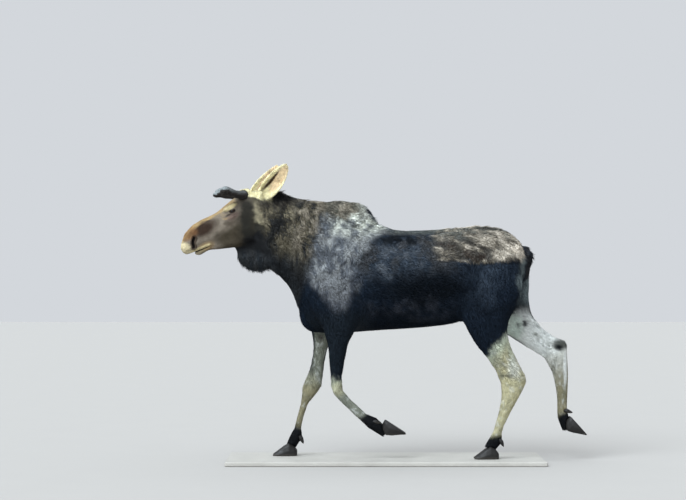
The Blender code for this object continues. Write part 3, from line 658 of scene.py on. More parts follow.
def make_eye(side, material):
    """A wet eyeball: a dark brown iris round a level oval pupil, under a slightly raised cornea."""
    centre, gaze, ahead, above = gaze_frame(side)
    ball = bmesh.new()
    bmesh.ops.create_uvsphere(ball, u_segments=48, v_segments=32, radius=EYE_RADIUS)
    mesh = bpy.data.meshes.new(f"eyeball_{side}")
    looks = []
    for point in ball.verts:
        way = point.co.normalized()
        cornea = max(0.0, way.z - CORNEA_EDGE) / (1 - CORNEA_EDGE)
        local = point.co * (1 + CORNEA_RISE * cornea * (2 - cornea))
        point.co = centre + ahead * local.x + above * local.y + gaze * local.z
        looks.append((way.x, way.y, way.z))
    ball.normal_update()
    bmesh.ops.recalc_face_normals(ball, faces=ball.faces)
    # A ball's faces come in another order each time, so they are sorted.
    faces = sorted([point.index for point in face.verts] for face in ball.faces)
    mesh.from_pydata([point.co for point in ball.verts], [], faces)
    ball.free()
    look = mesh.attributes.new("look", "FLOAT_VECTOR", "POINT")
    look.data.foreach_set("vector", np.array(looks).ravel())
    mesh.materials.append(material)
    eye = add_object(mesh.name, mesh)
    smooth_shading(eye)
    finish_piece(eye, "eye", f"eye_{side}")


# ---- The ears' own measures ----------------------------------------------------------------------
def ear_frame(side):
    """The ear's root, its reach to the tip, and the way its opening faces."""
    turn = HEAD_PLACE.to_3x3()
    root = on_head(*EAR_ROOT[side])
    reach = turn @ Vector(EAR_REACH[side])
    facing = turn @ Vector(EAR_FACING[side])
    facing = (facing - reach * facing.dot(reach) / reach.length_squared).normalized()
    return root, reach.normalized(), facing


def ear_measures(points, normals, side):
    """How far out along the ear each point is, how far across it, and how much it faces the opening."""
    root, reach, facing = (np.array(v) for v in ear_frame(side))
    out = (points - root) @ reach / EAR_LENGTH
    across = (points - root) @ np.cross(reach, facing)
    return out, across, normals @ facing


# ---- Which way the coat lies ---------------------------------------------------------------------
def leg_measures(points, leg):
    """How far down the leg each point is, and the way its bone runs there."""
    joints = np.array([(x, 0, z) for x, z in LEG_JOINTS[leg]])
    flat = points * (1, 0, 1)
    closest = np.full(len(points), np.inf)
    down = np.zeros(len(points))
    run = np.zeros((len(points), 3))
    passed = 0.0
    for upper, lower in zip(joints, joints[1:]):
        length = np.linalg.norm(lower - upper)
        way = (lower - upper) / length
        part = np.clip((flat - upper) @ way, 0, length)
        away = np.linalg.norm(flat - upper - part[:, None] * way, axis=1)
        nearer = away < closest
        closest = np.where(nearer, away, closest)
        down = np.where(nearer, passed + part, down)
        run[nearer] = way
        passed += length
    return down, run


def leg_of(points):
    """The name of the leg that each point would belong to."""
    hind = points[:, 0] > HIND_FROM
    right = points[:, 1] > 0
    return np.where(hind, np.where(right, "leg_hind_right", "leg_hind_left"),
                    np.where(right, "leg_front_right", "leg_front_left"))


def by_leg(points, measure):
    """What the measure gives at each point, for the leg that it would belong to."""
    legs = leg_of(points)
    values = np.zeros((len(points), 3))
    for leg in LEG_JOINTS:
        chosen = legs == leg
        values[chosen] = measure(points[chosen], leg)
    return values


def blended(values, shares):
    """Each region's own values, mixed where regions meet."""
    return sum(shares[:, [k]] * values[name] for k, name in enumerate(REGION_NAMES))


def lie_of_coat(points, normals, shares):
    """The way the hair points, before it is laid flat on the skin."""
    x, y, _ = points.T
    side = np.sign(y)
    lean = 0.30 + 0.75 * np.exp(-((x + 0.36) / 0.20) ** 2) + 0.9 * ramp(x, 0.45, 0.80)
    run = by_leg(points, lambda some, leg: leg_measures(some, leg)[1])
    ways = {region: np.tile(way, (len(points), 1)) for region, way in HAIR_WAYS.items()}
    ways["trunk"] = np.stack([np.ones(len(points)), 0.10 * side, -lean], axis=1)
    ways["thigh"] = run + (0.25, 0, 0)
    ways["shank"] = run
    ways["head"] = ways["head"] @ np.array(HEAD_PLACE.to_3x3()).T
    ways["ear"] = np.array([ear_frame("right" if s > 0 else "left")[1] for s in side])
    lie = blended({region: unit(way) for region, way in ways.items()}, shares)
    swirl = np.stack([cloud(points, 0.12, seed) - 0.5 for seed in (3, 4, 5)], axis=1)
    return along(lie + 0.35 * swirl, normals)


# ---- Markings ------------------------------------------------------------------------------------
# Places are in metres: x, y and z of the animal, or forward, up and across of the head. A ramp goes from
# where a colour starts to where it is full, and a product of ramps is the share of it that is laid on. The
# sizes of the clouds are those of the blotches, clumps and streaks of hair, and each has a seed of its own.
class Paint:
    """Colours over many points, laid on in coats, each with a share from 0 to 1 at each point."""

    def __init__(self, count, base):
        self.colour = np.tile(linear(base), (count, 1))

    def __call__(self, name, share):
        """Lays one coat of a named colour on."""
        share = np.clip(share, 0, 1)[:, None]
        self.colour = self.colour * (1 - share) + linear(name) * share

    def grained(self, grain, darkest, gain):
        """The finished colours, darker and paler with a fine cloud."""
        return self.colour * (darkest + gain * grain[:, None])


def spot(a, b, centre, size, soft=0.35):
    """1 inside an oval with that centre and those half sizes, falling softly to 0 round its edge."""
    away = np.hypot((a - centre[0]) / size[0], (b - centre[1]) / size[1])
    return ramp(away, 1 + soft, 1 - soft)


def trunk_markings(points):
    """Blue-black flanks, paler above and near black below partly as painted light and shade, the silver of
    old wool over the shoulder, a brown moulting croup, and painted light along the top of the back.
    """
    x, y, z = points.T
    blotch = cloud(points, 0.085, 11, (0.8, 1, 1.5))
    clump = cloud(points, 0.034, 12, (0.75, 1, 1.5))
    fine = cloud(points, 0.013, 13, (0.8, 1, 1.8), 2)
    edge = 0.11 * (cloud(points, 0.10, 14) - 0.5)
    mottle = 0.55 * blotch + 0.45 * clump
    paint = Paint(len(points), "slate")
    # The upper barrel is paler: partly the coat's own, partly painted light from above.
    upper = ramp(z + edge, 1.24, 1.42) * ramp(x, 0.58, 0.36)
    paint("slate_light", upper * (0.35 + 0.65 * blotch))
    paint("silver_dark", upper * ramp(mottle, 0.46, 0.74) * 0.75)
    paint("back_brown", upper * ramp(blotch, 0.50, 0.28) * 0.45)
    # Paler again with height: partly painted light from above.
    paint("slate_light", ramp(z, 1.15, 1.40) * 0.35 * fine)
    haunch = spot(x, z, (0.68, 1.27), (0.12, 0.17), 0.6)
    paint("slate_light", haunch * ramp(mottle, 0.35, 0.70) * 0.45)
    # Near black towards the belly: partly its own dark hair, partly painted shade.
    paint("belly", ramp(z + edge, 1.14, 1.02) * ramp(x, -0.38, -0.20) * 0.6)
    paint("belly", spot(x, z + edge, (0.28, 1.21), (0.30, 0.12), 0.6) * 0.9)
    brisket = spot(x, z + edge, (0.12, 1.080), (0.26, 0.060), 0.7)
    paint("silver_low", brisket * ramp(mottle, 0.36, 0.80) * 0.35)
    saddle = spot(x, z, (0.11, 1.550), (0.23, 0.040), 0.5)
    paint("belly", saddle * ramp(mottle, 0.36, 0.56) * 0.9)
    # Painted light: a paler band of lit hair along the top of the back.
    paint("back_grey", ramp(z, 1.575, 1.604) * ramp(x, -0.04, 0.06) * (0.4 + 0.6 * clump))
    croup_markings(paint, points, edge)
    shoulder_markings(paint, points, edge)
    rim = ramp(x + 0.6 * edge, 0.900, 0.945) * ramp(z, 1.47, 1.41) * ramp(z, 1.05, 1.15)
    paint("rim_grey", rim * (0.2 + 0.5 * mottle + 0.3 * fine) * ramp(np.abs(y), 0.05, 0.12))
    return paint.grained(fine, 0.80, 0.40)


def croup_markings(paint, points, edge):
    """Old wool coming away over the croup: brown, with pale streaks that run back along it, and painted
    light along its top.
    """
    x, y, z = points.T
    drift = points + np.stack([0 * x, 0 * y, 0.22 * x], axis=1)
    streak = cloud(drift, 0.034, 15, (3.0, 1, 0.75))
    tuft = cloud(drift, 0.080, 16, (1.6, 1, 0.8))
    front = ramp(x + 2.0 * edge + 0.06 * (streak - 0.5), 0.24, 0.40)
    croup = front * ramp(z + 0.5 * edge + 0.02 * (streak - 0.5), 1.385, 1.425) * ramp(x, 0.965, 0.915)
    paint("back_brown", croup * (0.80 + 0.20 * tuft))
    # Painted light: greyer along the top of the croup.
    paint("back_grey", croup * ramp(z + 0.5 * edge, 1.52, 1.60) * 0.5)
    rear = ramp(x, 0.66, 0.86) * ramp(z, 1.40, 1.46)
    # Towards the top the flecks turn paler too, as painted light.
    flecks = 0.62 * streak + 0.38 * tuft + 0.22 * rear + 0.08 * ramp(z, 1.53, 1.60)
    flecks = flecks - 0.10 * ramp(x, 0.56, 0.40)
    paint("wool_tan", croup * ramp(flecks, 0.42, 0.62) * 0.9)
    paint("wool_pale", croup * ramp(flecks, 0.56, 0.76) * 0.9)
    paint("muzzle_brown", croup * ramp(0.7 * streak + 0.3 * tuft, 0.36, 0.20) * (1 - rear) * 0.6)


def shoulder_markings(paint, points, edge):
    """A leaf of silver from the back of the hump down to the elbow, brown and tan along the hump."""
    x, _, z = points.T
    blotch = cloud(points, 0.080, 17, (0.8, 1, 1.5))
    clump = cloud(points, 0.030, 18, (0.70, 1, 1.8))
    front = np.interp(z, (1.03, 1.16, 1.35, 1.50, 1.65, 1.80), (-0.35, -0.46, -0.54, -0.54, -0.49, -0.42))
    rear = np.interp(z, (1.02, 1.09, 1.25, 1.44, 1.54, 1.60, 1.66, 1.72, 1.80),
                     (-0.30, -0.24, -0.20, -0.22, -0.13, -0.04, -0.01, -0.09, -0.16))
    leaf = ramp(x - front + 0.9 * edge, -0.04, 0.07) * ramp(x - rear + edge, 0.05, -0.06)
    leaf = leaf * ramp(z + edge, 1.00, 1.14)
    height = ramp(z, 1.10, 1.62)
    mottle = 0.55 * blotch + 0.45 * clump
    paint("silver_low", leaf * (0.60 + 0.40 * blotch) * (1 - 0.4 * height))
    paint("silver_dark", leaf * (0.35 + 0.50 * height))
    paint("silver", leaf * (0.25 + 0.70 * height) * ramp(mottle, 0.34, 0.66))
    top = ramp(z + 0.4 * edge, 1.54, 1.66) * ramp(x, -0.44, -0.32)
    paint("silver_pale", leaf * top * (0.20 + 0.70 * ramp(mottle, 0.36, 0.60)))
    paint("slate", leaf * ramp(clump, 0.34, 0.14) * (0.55 - 0.30 * height))
    wisp = distance_to_line(x, z, (-0.285, 1.690), (-0.225, 1.650))
    paint("belly", ramp(wisp, 0.018, 0.006) * ramp(clump, 0.30, 0.50) * 0.8)
    crest = ramp(z + 0.8 * edge + 0.20 * (x + 0.4), 1.715, 1.775) * ramp(x, -0.14, -0.26)
    paint("hump_olive", crest * (0.75 + 0.25 * blotch))
    paint("wool_tan", crest * ramp(clump, 0.42, 0.66) * 0.75)
    paint("back_brown", crest * ramp(0.6 * blotch + 0.4 * clump, 0.52, 0.34) * 0.85)
    before = ramp(x - front, 0.03, -0.06) * ramp(z, 1.20, 1.45)
    neck_wool(paint, points, before)


def neck_wool(paint, points, share):
    """Clumps of olive and tan wool with dark gaps between them, over the base of the neck."""
    clump = cloud(points, 0.055, 23, (0.8, 1, 1.5))
    strand = cloud(points, 0.020, 24, (0.6, 1, 2.4))
    mixed = 0.5 * clump + 0.5 * strand
    high = ramp(points[:, 2], 1.34, 1.58)
    paint("neck_dark", share * 0.85)
    paint("neck_olive", share * (0.25 + 0.75 * high) * ramp(mixed, 0.28, 0.50))
    paint("wool_tan", share * high * ramp(mixed, 0.44, 0.62) * 0.85)


def neck_markings(points):
    """Olive brown above, near black below, in upright clumps and streaks."""
    x, _, z = points.T
    streak = cloud(points, 0.022, 21, (0.6, 1, 3.2))
    blotch = cloud(points, 0.10, 22, (0.7, 1, 1.8))
    mixed = 0.55 * streak + 0.45 * blotch
    paint = Paint(len(points), "neck_dark")
    high = ramp(z + 0.35 * (x + 0.7), 1.34, 1.62)
    pale = high * (0.35 + 0.65 * ramp(x + 0.3 * (z - 1.7), -0.76, -0.64))
    paint("neck_olive", high * (0.15 + 0.75 * ramp(mixed, 0.34, 0.64)))
    paint("neck_pale", pale * ramp(mixed, 0.50, 0.74) * 0.6)
    paint("jaw_dark", ramp(mixed, 0.42, 0.24) * 0.65)
    paint("jaw_dark", ramp(z + 0.5 * x, 1.10, 0.98) * 0.5)
    behind_cheek = spot(x, z, (-0.905, 1.63), (0.034, 0.12), 0.5)
    paint("neck_pale", behind_cheek * (0.5 + 0.5 * streak))
    neck_wool(paint, points, ramp(x, -0.70, -0.60) * ramp(z, 1.25, 1.50))
    crest = ramp(z - 0.08 * (x + 0.7), 1.775, 1.83)
    paint("back_brown", crest * 0.8)
    paint("belly", spot(x, z, (-0.76, 1.855), (0.12, 0.030)) * 0.85)
    paint("ear_gold", gold_band(points) * (0.75 + 0.25 * streak))
    return paint.grained(streak, 0.84, 0.32)


def gold_band(points):
    """1 on the gold strip from each antler's root to the front of the ear, less on the poll between."""
    forward, up, across = head_measures(points)
    away = distance_to_line(forward, up, (0.085, 0.128), (-0.030, 0.040))
    return ramp(away, 0.034, 0.024) * (0.55 + 0.45 * ramp(np.abs(across), 0.020, 0.060))


# Pale skin below the eye, a painted highlight in gold along the brow above it and a dark fold ahead of it:
# colour, middle and half sizes in head measures, softness and strength.
EYE_SPOTS = (
    ("lid_pink", (0.240, 0.026), (0.044, 0.022), 0.6, 0.75),
    ("brow_gold", (0.222, 0.087), (0.048, 0.015), 0.4, 1.0),
    ("eyelid", (0.262, 0.046), (0.020, 0.006), 0.6, 0.7),
)


def head_markings(points, normals):
    """Rusty nose with a cream front, grey cheeks, dark jaw, and gold from the antlers' roots to the ears,
    with painted highlights in gold on the brow, the upper lip and the upward faces of the head, and painted
    shade at the back of the cheek and under the jaw.
    """
    forward, up, across = head_measures(points)
    fine = cloud(points, 0.012, 31)
    soft = cloud(points, 0.05, 32)
    wave = 0.05 * (soft - 0.5)
    out = ramp(np.abs(across), 0.040, 0.060)
    # How much each point faces up, where the painted highlights fall.
    top = ramp(normals @ np.array(HEAD_PLACE.to_3x3() @ Vector((0, 0, 1))), 0.45, 0.85)
    paint = Paint(len(points), "cheek")
    paint("cheek_olive", ramp(up + wave, 0.005, -0.070) * ramp(forward, 0.47, 0.38) * 0.95)
    # Painted shade: darker towards the back and bottom of the cheek.
    paint("cheek_back", ramp(forward + 0.5 * up + wave, 0.25, 0.15) * (0.55 + 0.45 * soft))
    # Painted shade: a dark band down the back of the cheek.
    shade = distance_to_line(forward + wave, up, (0.120, 0.040), (0.205, -0.135))
    paint("cheek_back", ramp(shade, 0.046, 0.016) * 0.8)
    paint("neck_olive", ramp(forward + wave, 0.10, 0.04) * 0.8)
    streak = distance_to_line(forward + 0.6 * wave, up, (0.040, 0.010), (0.095, -0.095))
    paint("neck_pale", ramp(streak, 0.040, 0.018) * (0.75 + 0.25 * fine))
    # Under the jaw: its own dark hair, with painted shade where the head turns under.
    jaw_edge = np.interp(forward, (0.15, 0.20, 0.26, 0.33, 0.47), (-0.150, -0.165, -0.200, -0.172, -0.128))
    paint("jaw_dark", ramp(up - jaw_edge + 0.4 * wave, 0.014, -0.012) * ramp(forward, 0.47, 0.40))
    paint("jaw_dark", spot(forward, up, (0.235, -0.178), (0.036, 0.034), 0.6) * 0.8)
    paint("muzzle_brown", spot(forward + wave, up, (0.455, 0.056), (0.090, 0.052), 0.45) * 0.95)
    # Painted highlight in gold on the upward faces of the head, from just behind the eyes forward.
    paint("nose_gold", top * ramp(forward, 0.14, 0.20) * (0.55 + 0.45 * fine))
    paint("nose_rust", spot(forward + wave, up, (0.562, 0.078), (0.062, 0.042), 0.4) * 0.95)
    # More painted highlight along the top of the nose.
    paint("nose_gold", top * ramp(forward, 0.46, 0.52) * ramp(forward, 0.66, 0.60) * 0.35)
    paint("nose_cream", spot(forward, up, (0.640, 0.000), (0.040, 0.044), 0.35))
    paint("muzzle_brown", ramp(forward, 0.46, 0.50) * ramp(up, -0.080, -0.100) * 0.7)
    above_lips = up - mouth_line(forward)
    paint("nose_gold", spot(forward, above_lips, (0.505, 0.006), (0.052, 0.028), 0.6) * 0.75)
    # Painted highlight: a gold line along the top edge of the upper lip.
    lip_highlight = ramp(above_lips, 0.001, 0.004) * ramp(above_lips, 0.025, 0.016) * ramp(forward, 0.462, 0.480)
    paint("brow_gold", lip_highlight * ramp(forward, 0.64, 0.60) * (0.8 + 0.2 * fine))
    chin = ramp(above_lips, -0.004, -0.008) * ramp(above_lips, -0.030, -0.018) * ramp(forward, 0.50, 0.53)
    paint("nose_cream", chin * 0.45)
    nostril = nostril_distance(forward, up)
    paint("muzzle_brown", ramp(nostril, 0.026, 0.016) * out * 0.75)
    paint("bare_skin", ramp(nostril, 0.013, 0.007) * out)
    paint("bare_skin", mouth_gap(forward, up))
    for name, place, size, softness, strength in EYE_SPOTS:
        paint(name, spot(forward, up, place, size, softness) * strength * out)
    paint("ear_gold", gold_band(points) * (0.75 + 0.25 * fine))
    for side in SIDES:
        paint("eyelid", ramp(from_eye(points, side), 0.0262, 0.0240))
    return paint.grained(fine, 0.86, 0.28)


def distance_to_line(a, b, start, end):
    """The distance in a plane from each (a, b) to the stretch between two points."""
    start, end = np.array(start), np.array(end)
    way = end - start
    place = np.stack([a, b], axis=1) - start
    part = np.clip(place @ way / (way @ way), 0, 1)
    return np.linalg.norm(place - part[:, None] * way, axis=1)


def nostril_distance(forward, up):
    """How far each point is from the nostril's comma."""
    mouth_end = distance_to_line(forward, up, (0.579, -0.020), (0.568, 0.012))
    tail = distance_to_line(forward, up, (0.568, 0.012), (0.545, 0.032))
    return np.minimum(mouth_end, tail)


def mouth_gap(forward, up):
    """1 where the lips part: a thin line that opens towards the front."""
    half = np.interp(forward, (0.48, 0.60, 0.66), (0.0015, 0.0040, 0.0090))
    return ramp(np.abs(up - mouth_line(forward)), half + 0.002, half) * ramp(forward, 0.478, 0.49)


def ear_markings(points, normals):
    """Tan inside with a pale gold rim and a long dark hollow near its front edge, browner outside."""
    paint = Paint(len(points), "ear_gold")
    fine = cloud(points, 0.012, 41)
    for side, sign in SIDES.items():
        here = ramp(points[:, 1] * sign, -0.02, 0.02)
        out, across, facing = ear_measures(points, normals, side)
        ahead = -across * EAR_TURN[side]
        paint("ear_back", here * ramp(facing, 0.05, -0.35) * (0.6 + 0.3 * fine))
        inside = here * ramp(facing, 0.05, 0.35)
        panel = ramp(np.hypot((out - 0.55) / 0.46, (ahead + 0.008) / 0.042), 1.15, 0.75)
        paint("ear_tan", inside * panel)
        deep, before, long, wide = EAR_HOLLOW[side]
        slant = ahead - before + 0.012 * (out - deep)
        hollow = ramp(np.hypot((out - deep) / long, slant / (wide * (1.25 - 0.7 * out))), 1.3, 0.6)
        paint("ear_hollow", inside * hollow)
    return paint.grained(fine, 0.84, 0.3)


def leg_markings(points, leg):
    """A dark upper leg, a pale stocking from above the knee or hock, and a dark foot."""
    down, _ = leg_measures(points, leg)
    x, y, z = points.T
    blotch = cloud(points, 0.04, 51)
    fine = cloud(points, 0.012, 52)
    inner = ramp(np.abs(y) - LEG_MIDDLE, 0.010, -0.022)
    marks = STOCKINGS[leg]
    wave = 0.05 * (blotch - 0.5) + marks.tilt * (x - marks.middle_x)
    paint = Paint(len(points), marks.upper)
    outer_top = ramp(down + wave, marks.outer - 0.035, marks.outer + 0.035)
    inner_top = ramp(down + wave, marks.inner - 0.035, marks.inner + 0.035)
    stocking = np.maximum(outer_top, inner_top * inner)
    paint(marks.high, stocking)
    turns = marks.outer + 0.25 * marks.fade
    lower = ramp(down + 0.5 * wave, turns, turns + marks.fade)
    paint(marks.low, stocking * lower)
    paint("leg_grey", stocking * ramp(blotch, 0.55, 0.85) * 0.35)
    paint("leg_white", stocking * ramp(cloud(points, 0.022, 53), 0.60, 0.85) * 0.35)
    for place, size, name, strength in SPOTS.get(leg, ()):
        paint(name, stocking * spot(x, z, place, size, 0.45) * strength)
    foot = ramp(down + 0.4 * wave, marks.foot - 0.02, marks.foot + 0.03)
    paint("foot", foot)
    return paint.grained(fine, 0.88, 0.24)


def streaked(points, base, streak, share, seed):
    """One dark colour with thin upright streaks of another, as on the bell and the tail."""
    paint = Paint(len(points), base)
    paint(streak, cloud(points, 0.03, seed, (0.8, 1, 2.5)) * share)
    return paint.colour


def markings(points, normals, shares):
    """The coat's colour at each point: each region's own, mixed where regions meet."""
    on_legs = by_leg(points, leg_markings)
    trunk = trunk_markings(points)
    haunch = ramp(points[:, 2], 0.98, 1.12)[:, None]
    looks = {
        "trunk": trunk,
        "neck": neck_markings(points),
        "bell": streaked(points, "bell_dark", "back_brown", 0.35, 61),
        "tail": streaked(points, "slate", "back_brown", 0.5, 62),
        "thigh": on_legs * (1 - haunch) + trunk * haunch,
        "shank": on_legs,
        "head": head_markings(points, normals),
        "ear": ear_markings(points, normals),
    }
    return blended(looks, shares)


# ---- Tufts ---------------------------------------------------------------------------------------
Roots = namedtuple("Roots", "place normal lie length width lift sway tone spread")


def scatter(mesh, gap):
    """Places on the mesh with about that gap (one per point of it) between them, as (triangle, weights)."""
    mesh.calc_loop_triangles()
    corners, loops = (read_all(mesh.loop_triangles, field, 3, np.int64) for field in ("vertices", "loops"))
    points = read_points(mesh)
    a, b, c = (points[corners[:, k]] for k in range(3))
    area = np.linalg.norm(np.cross(b - a, c - a), axis=1) / 2
    wanted = area / gap[corners].mean(axis=1) ** 2
    count = np.floor(wanted + random.random(len(wanted))).astype(int)
    chosen = np.repeat(np.arange(len(corners)), count)
    u, v = random.random((2, len(chosen)))
    flip = u + v > 1
    u, v = np.where(flip, 1 - u, u), np.where(flip, 1 - v, v)
    return corners[chosen], loops[chosen], np.stack([1 - u - v, u, v], axis=1)


def plant(mesh, points, normals, gap):
    """Scattered roots: a way to spread values over them, and their place, normal and spot on OFBake."""
    corners, loops, weights = scatter(mesh, gap)

    def spread(values, rows=corners):
        """Values known at the mesh's points, at the roots."""
        return np.einsum("nk,nk...->n...", weights, values[rows])

    chart = read_all(mesh.uv_layers["OFBake"].data, "uv", 2)
    return spread, spread(points), unit(spread(normals)), spread(chart, loops)


TAPER = ((0.0, 0.75), (0.42, 1.0))  # a long tuft's width on its way to the tip, in shares
SHORT_TAPER = ((0.0, 1.0),)
TUFT_CORNERS = ((-0.5, 0.0), (0.5, 0.0), (0.0, 0.42))  # sideways and up, in shares of its width
ROOT_SHADE = 0.80  # how dark a tuft's root is, partly painted shade from the coat round it, and how much lighter its tip
TIP_GAIN = 0.44
UNDER_HAIR_SHADE = 0.84  # painted shade: how much darker the skin is, as in the shade under the hair
# How tufts differ from each other: sideways turns, and least and most shares of the region's own sizes.
TUFT_TURN = 0.16
TUFT_SWAY = 0.06
TUFT_LENGTHS = (0.65, 1.25)
TUFT_WIDTHS = (0.8, 1.2)
TUFT_LIFTS = (0.5, 1.4)
TUFT_SHADES = (0.80, 1.20)
# Locks of many tufts that sway and darken together.
LOCK_SIZE = 0.028
LOCK_SWAY = 0.5
LOCK_SHADE = 0.25
# How much more of each there is where wool is coming away.
RAGGED_CLOSER = 0.12
RAGGED_TURN = 1.6
RAGGED_LENGTH = 0.55
RAGGED_WIDTH = 0.5
RAGGED_LIFT = 0.9
RAGGED_SHADE = 0.45


def grow(name, roots, taper, material):
    """One piece of coat: a closed, tapered, three-sided tuft at each root, lying down its way."""
    across = np.cross(roots.normal, roots.lie)
    rows = []
    shade = []
    flat = []
    for t, share in (*taper, (1.0, 0.0)):
        width = roots.width * share
        rise = roots.length * roots.lift * t * (1.35 - 0.5 * t) - 0.5 * roots.width * (t == 0)
        spine = (roots.place + roots.lie * (roots.length * t)[:, None] + roots.normal * rise[:, None]
                 + across * (roots.length * roots.sway * t * t)[:, None])
        for sideways, up in TUFT_CORNERS if share else TUFT_CORNERS[:1]:
            offset = across * (sideways * width)[:, None]
            offset = offset + roots.normal * (up * width)[:, None]
            rows.append(spine + offset)
            shade.append(ROOT_SHADE + TIP_GAIN * t)
            flat.append((sideways if share else 0.0, t))
    points = np.stack(rows, axis=1)
    count, per_tuft, _ = points.shape
    last, tip = 3 * (len(taper) - 1), 3 * len(taper)
    faces = [(0, 2, 1)]
    for low in range(0, last, 3):
        for k in range(3):
            j = (k + 1) % 3
            faces += [(low + k, low + j, low + 3 + j), (low + k, low + 3 + j, low + 3 + k)]
    faces += [(last + k, last + (k + 1) % 3, tip) for k in range(3)]
    corners = (np.arange(count)[:, None, None] * per_tuft + np.array(faces)).ravel()
    mesh = bpy.data.meshes.new(name)
    mesh.vertices.add(count * per_tuft)
    mesh.vertices.foreach_set("co", points.ravel())
    mesh.loops.add(len(corners))
    mesh.loops.foreach_set("vertex_index", corners)
    mesh.polygons.add(len(corners) // 3)
    mesh.polygons.foreach_set("loop_start", np.arange(0, len(corners), 3))
    mesh.update(calc_edges=True)
    colour_points(mesh, (roots.tone[:, None, :] * np.array(shade)[None, :, None]).reshape(-1, 3))
    flat = np.array(flat)
    patch = roots.spread[:, None, :] + (flat - (0.0, 0.5)) * BAKE_PATCH
    strand = np.stack([flat[None, :, 0] * roots.width[:, None] / HAIR_WIDTH,
                       flat[None, :, 1] * roots.length[:, None] / HAIR_STREAK], axis=2)
    strand = strand + random.random((count, 1, 2)) * 50
    for chart, values in (("OFBake", patch), ("strand", strand)):
        mesh.uv_layers.new(name=chart).data.foreach_set("uv", values.reshape(-1, 2)[corners].ravel())
    mesh.materials.append(material)
    piece = add_object(name, mesh)
    smooth_shading(piece)
    return piece


def paint_skin(skin, shares):
    """The same markings on the skin as on the coat, a little darker: painted shade, as under hair."""
    mesh = skin.data
    colour_points(mesh, markings(read_points(mesh), read_normals(mesh), shares) * UNDER_HAIR_SHADE)


def bare(points):
    """1 where no hair grows: the lids' edges, the nostrils and the parted lips."""
    forward, up, across = head_measures(points)
    lids = [ramp(from_eye(points, side), 0.0290, 0.0265) for side in SIDES]
    nostril = ramp(nostril_distance(forward, up), 0.012, 0.009) * ramp(np.abs(across), 0.040, 0.055)
    return np.maximum.reduce([*lids, nostril, mouth_gap(forward, up)])


def wool(points):
    """How ragged the coat is, from 0 on sleek new hair to 1 on wool that is coming away."""
    x, _, z = points.T
    clump = cloud(points, 0.06, 71, (1.5, 1, 1))
    croup = ramp(x, 0.30, 0.42) * ramp(z, 1.39, 1.43) * ramp(clump, 0.38, 0.60)
    shoulder = spot(x, z, (-0.14, 1.655), (0.14, 0.085)) * ramp(clump, 0.30, 0.55)
    patch = ramp(x, -0.56, -0.43) * ramp(x, 0.02, -0.10) * ramp(z, 1.10, 1.35)
    patch = patch * ramp(clump, 0.45, 0.75) * 0.7
    neck = ramp(x, -0.95, -0.85) * ramp(x, -0.45, -0.6) * ramp(z, 1.30, 1.55) * ramp(clump, 0.4, 0.7) * 0.7
    return np.maximum.reduce([croup, shoulder, patch, neck])


def grow_coat(skin, shares, hair):
    """Every tuft on the skin, in pieces by region and from front to back."""
    mesh = skin.data
    points, normals = read_points(mesh), read_normals(mesh)
    ragged = wool(points)
    lie = lie_of_coat(points, normals, shares)
    gap = shares @ column("gap") * (1 - RAGGED_CLOSER * ragged) / np.sqrt(1.0001 - bare(points))
    spread, place, normal, patch = plant(mesh, points, normals, gap * COAT_GAP)
    share = spread(shares)
    rough = spread(ragged)
    count = len(place)
    lie = along(spread(lie), normal)
    turn = TUFT_TURN * random.standard_normal(count) * (1 + RAGGED_TURN * rough)
    lie = along(lie + np.cross(normal, lie) * turn[:, None], normal)
    length = share @ column("length") * random.uniform(*TUFT_LENGTHS, count) * (1 + RAGGED_LENGTH * rough)
    lock = cloud(place, LOCK_SIZE, 81, octaves=2) - 0.5
    shade = random.uniform(*TUFT_SHADES, count) * (1 + lock * (LOCK_SHADE + RAGGED_SHADE * rough))
    tone = markings(place, normal, share) * shade[:, None]
    roots = Roots(
        place,
        normal,
        lie,
        length,
        share @ column("width") * random.uniform(*TUFT_WIDTHS, count) * (1 + RAGGED_WIDTH * rough),
        share @ column("lift") * random.uniform(*TUFT_LIFTS, count) * (1 + RAGGED_LIFT * rough),
        LOCK_SWAY * lock + TUFT_SWAY * random.standard_normal(count),
        tone,
        patch,
    )
    home = share.argmax(axis=1)
    for k, region in enumerate(REGION_NAMES):
        bends = (home == k) & ((rough > RAGGED) | (region in LONG_REGIONS))
        kinds = (("sleek", SHORT_TAPER, (home == k) & ~bends), ("ragged", TAPER, bends))
        for kind, taper, members in kinds:
            chosen = np.nonzero(members)[0]
            chosen = chosen[np.argsort(place[chosen, 0])]
            most = PIECE_TRIANGLES // (6 * len(taper) - 2)
            for part, start in enumerate(range(0, len(chosen), most)):
                picked = Roots(*(field[chosen[start:start + most]] for field in roots))
                piece = grow(f"coat_{region}_{kind}_{part + 1}", picked, taper, hair)
                finish_piece(piece, SLOTS[region])


def finish_piece(piece, slot, *nodes):
    """The piece rides with the animal and stands for those solids, which are hidden. The slot is not used.
    """
    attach(piece, "root")
    if nodes:
        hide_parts(*nodes)


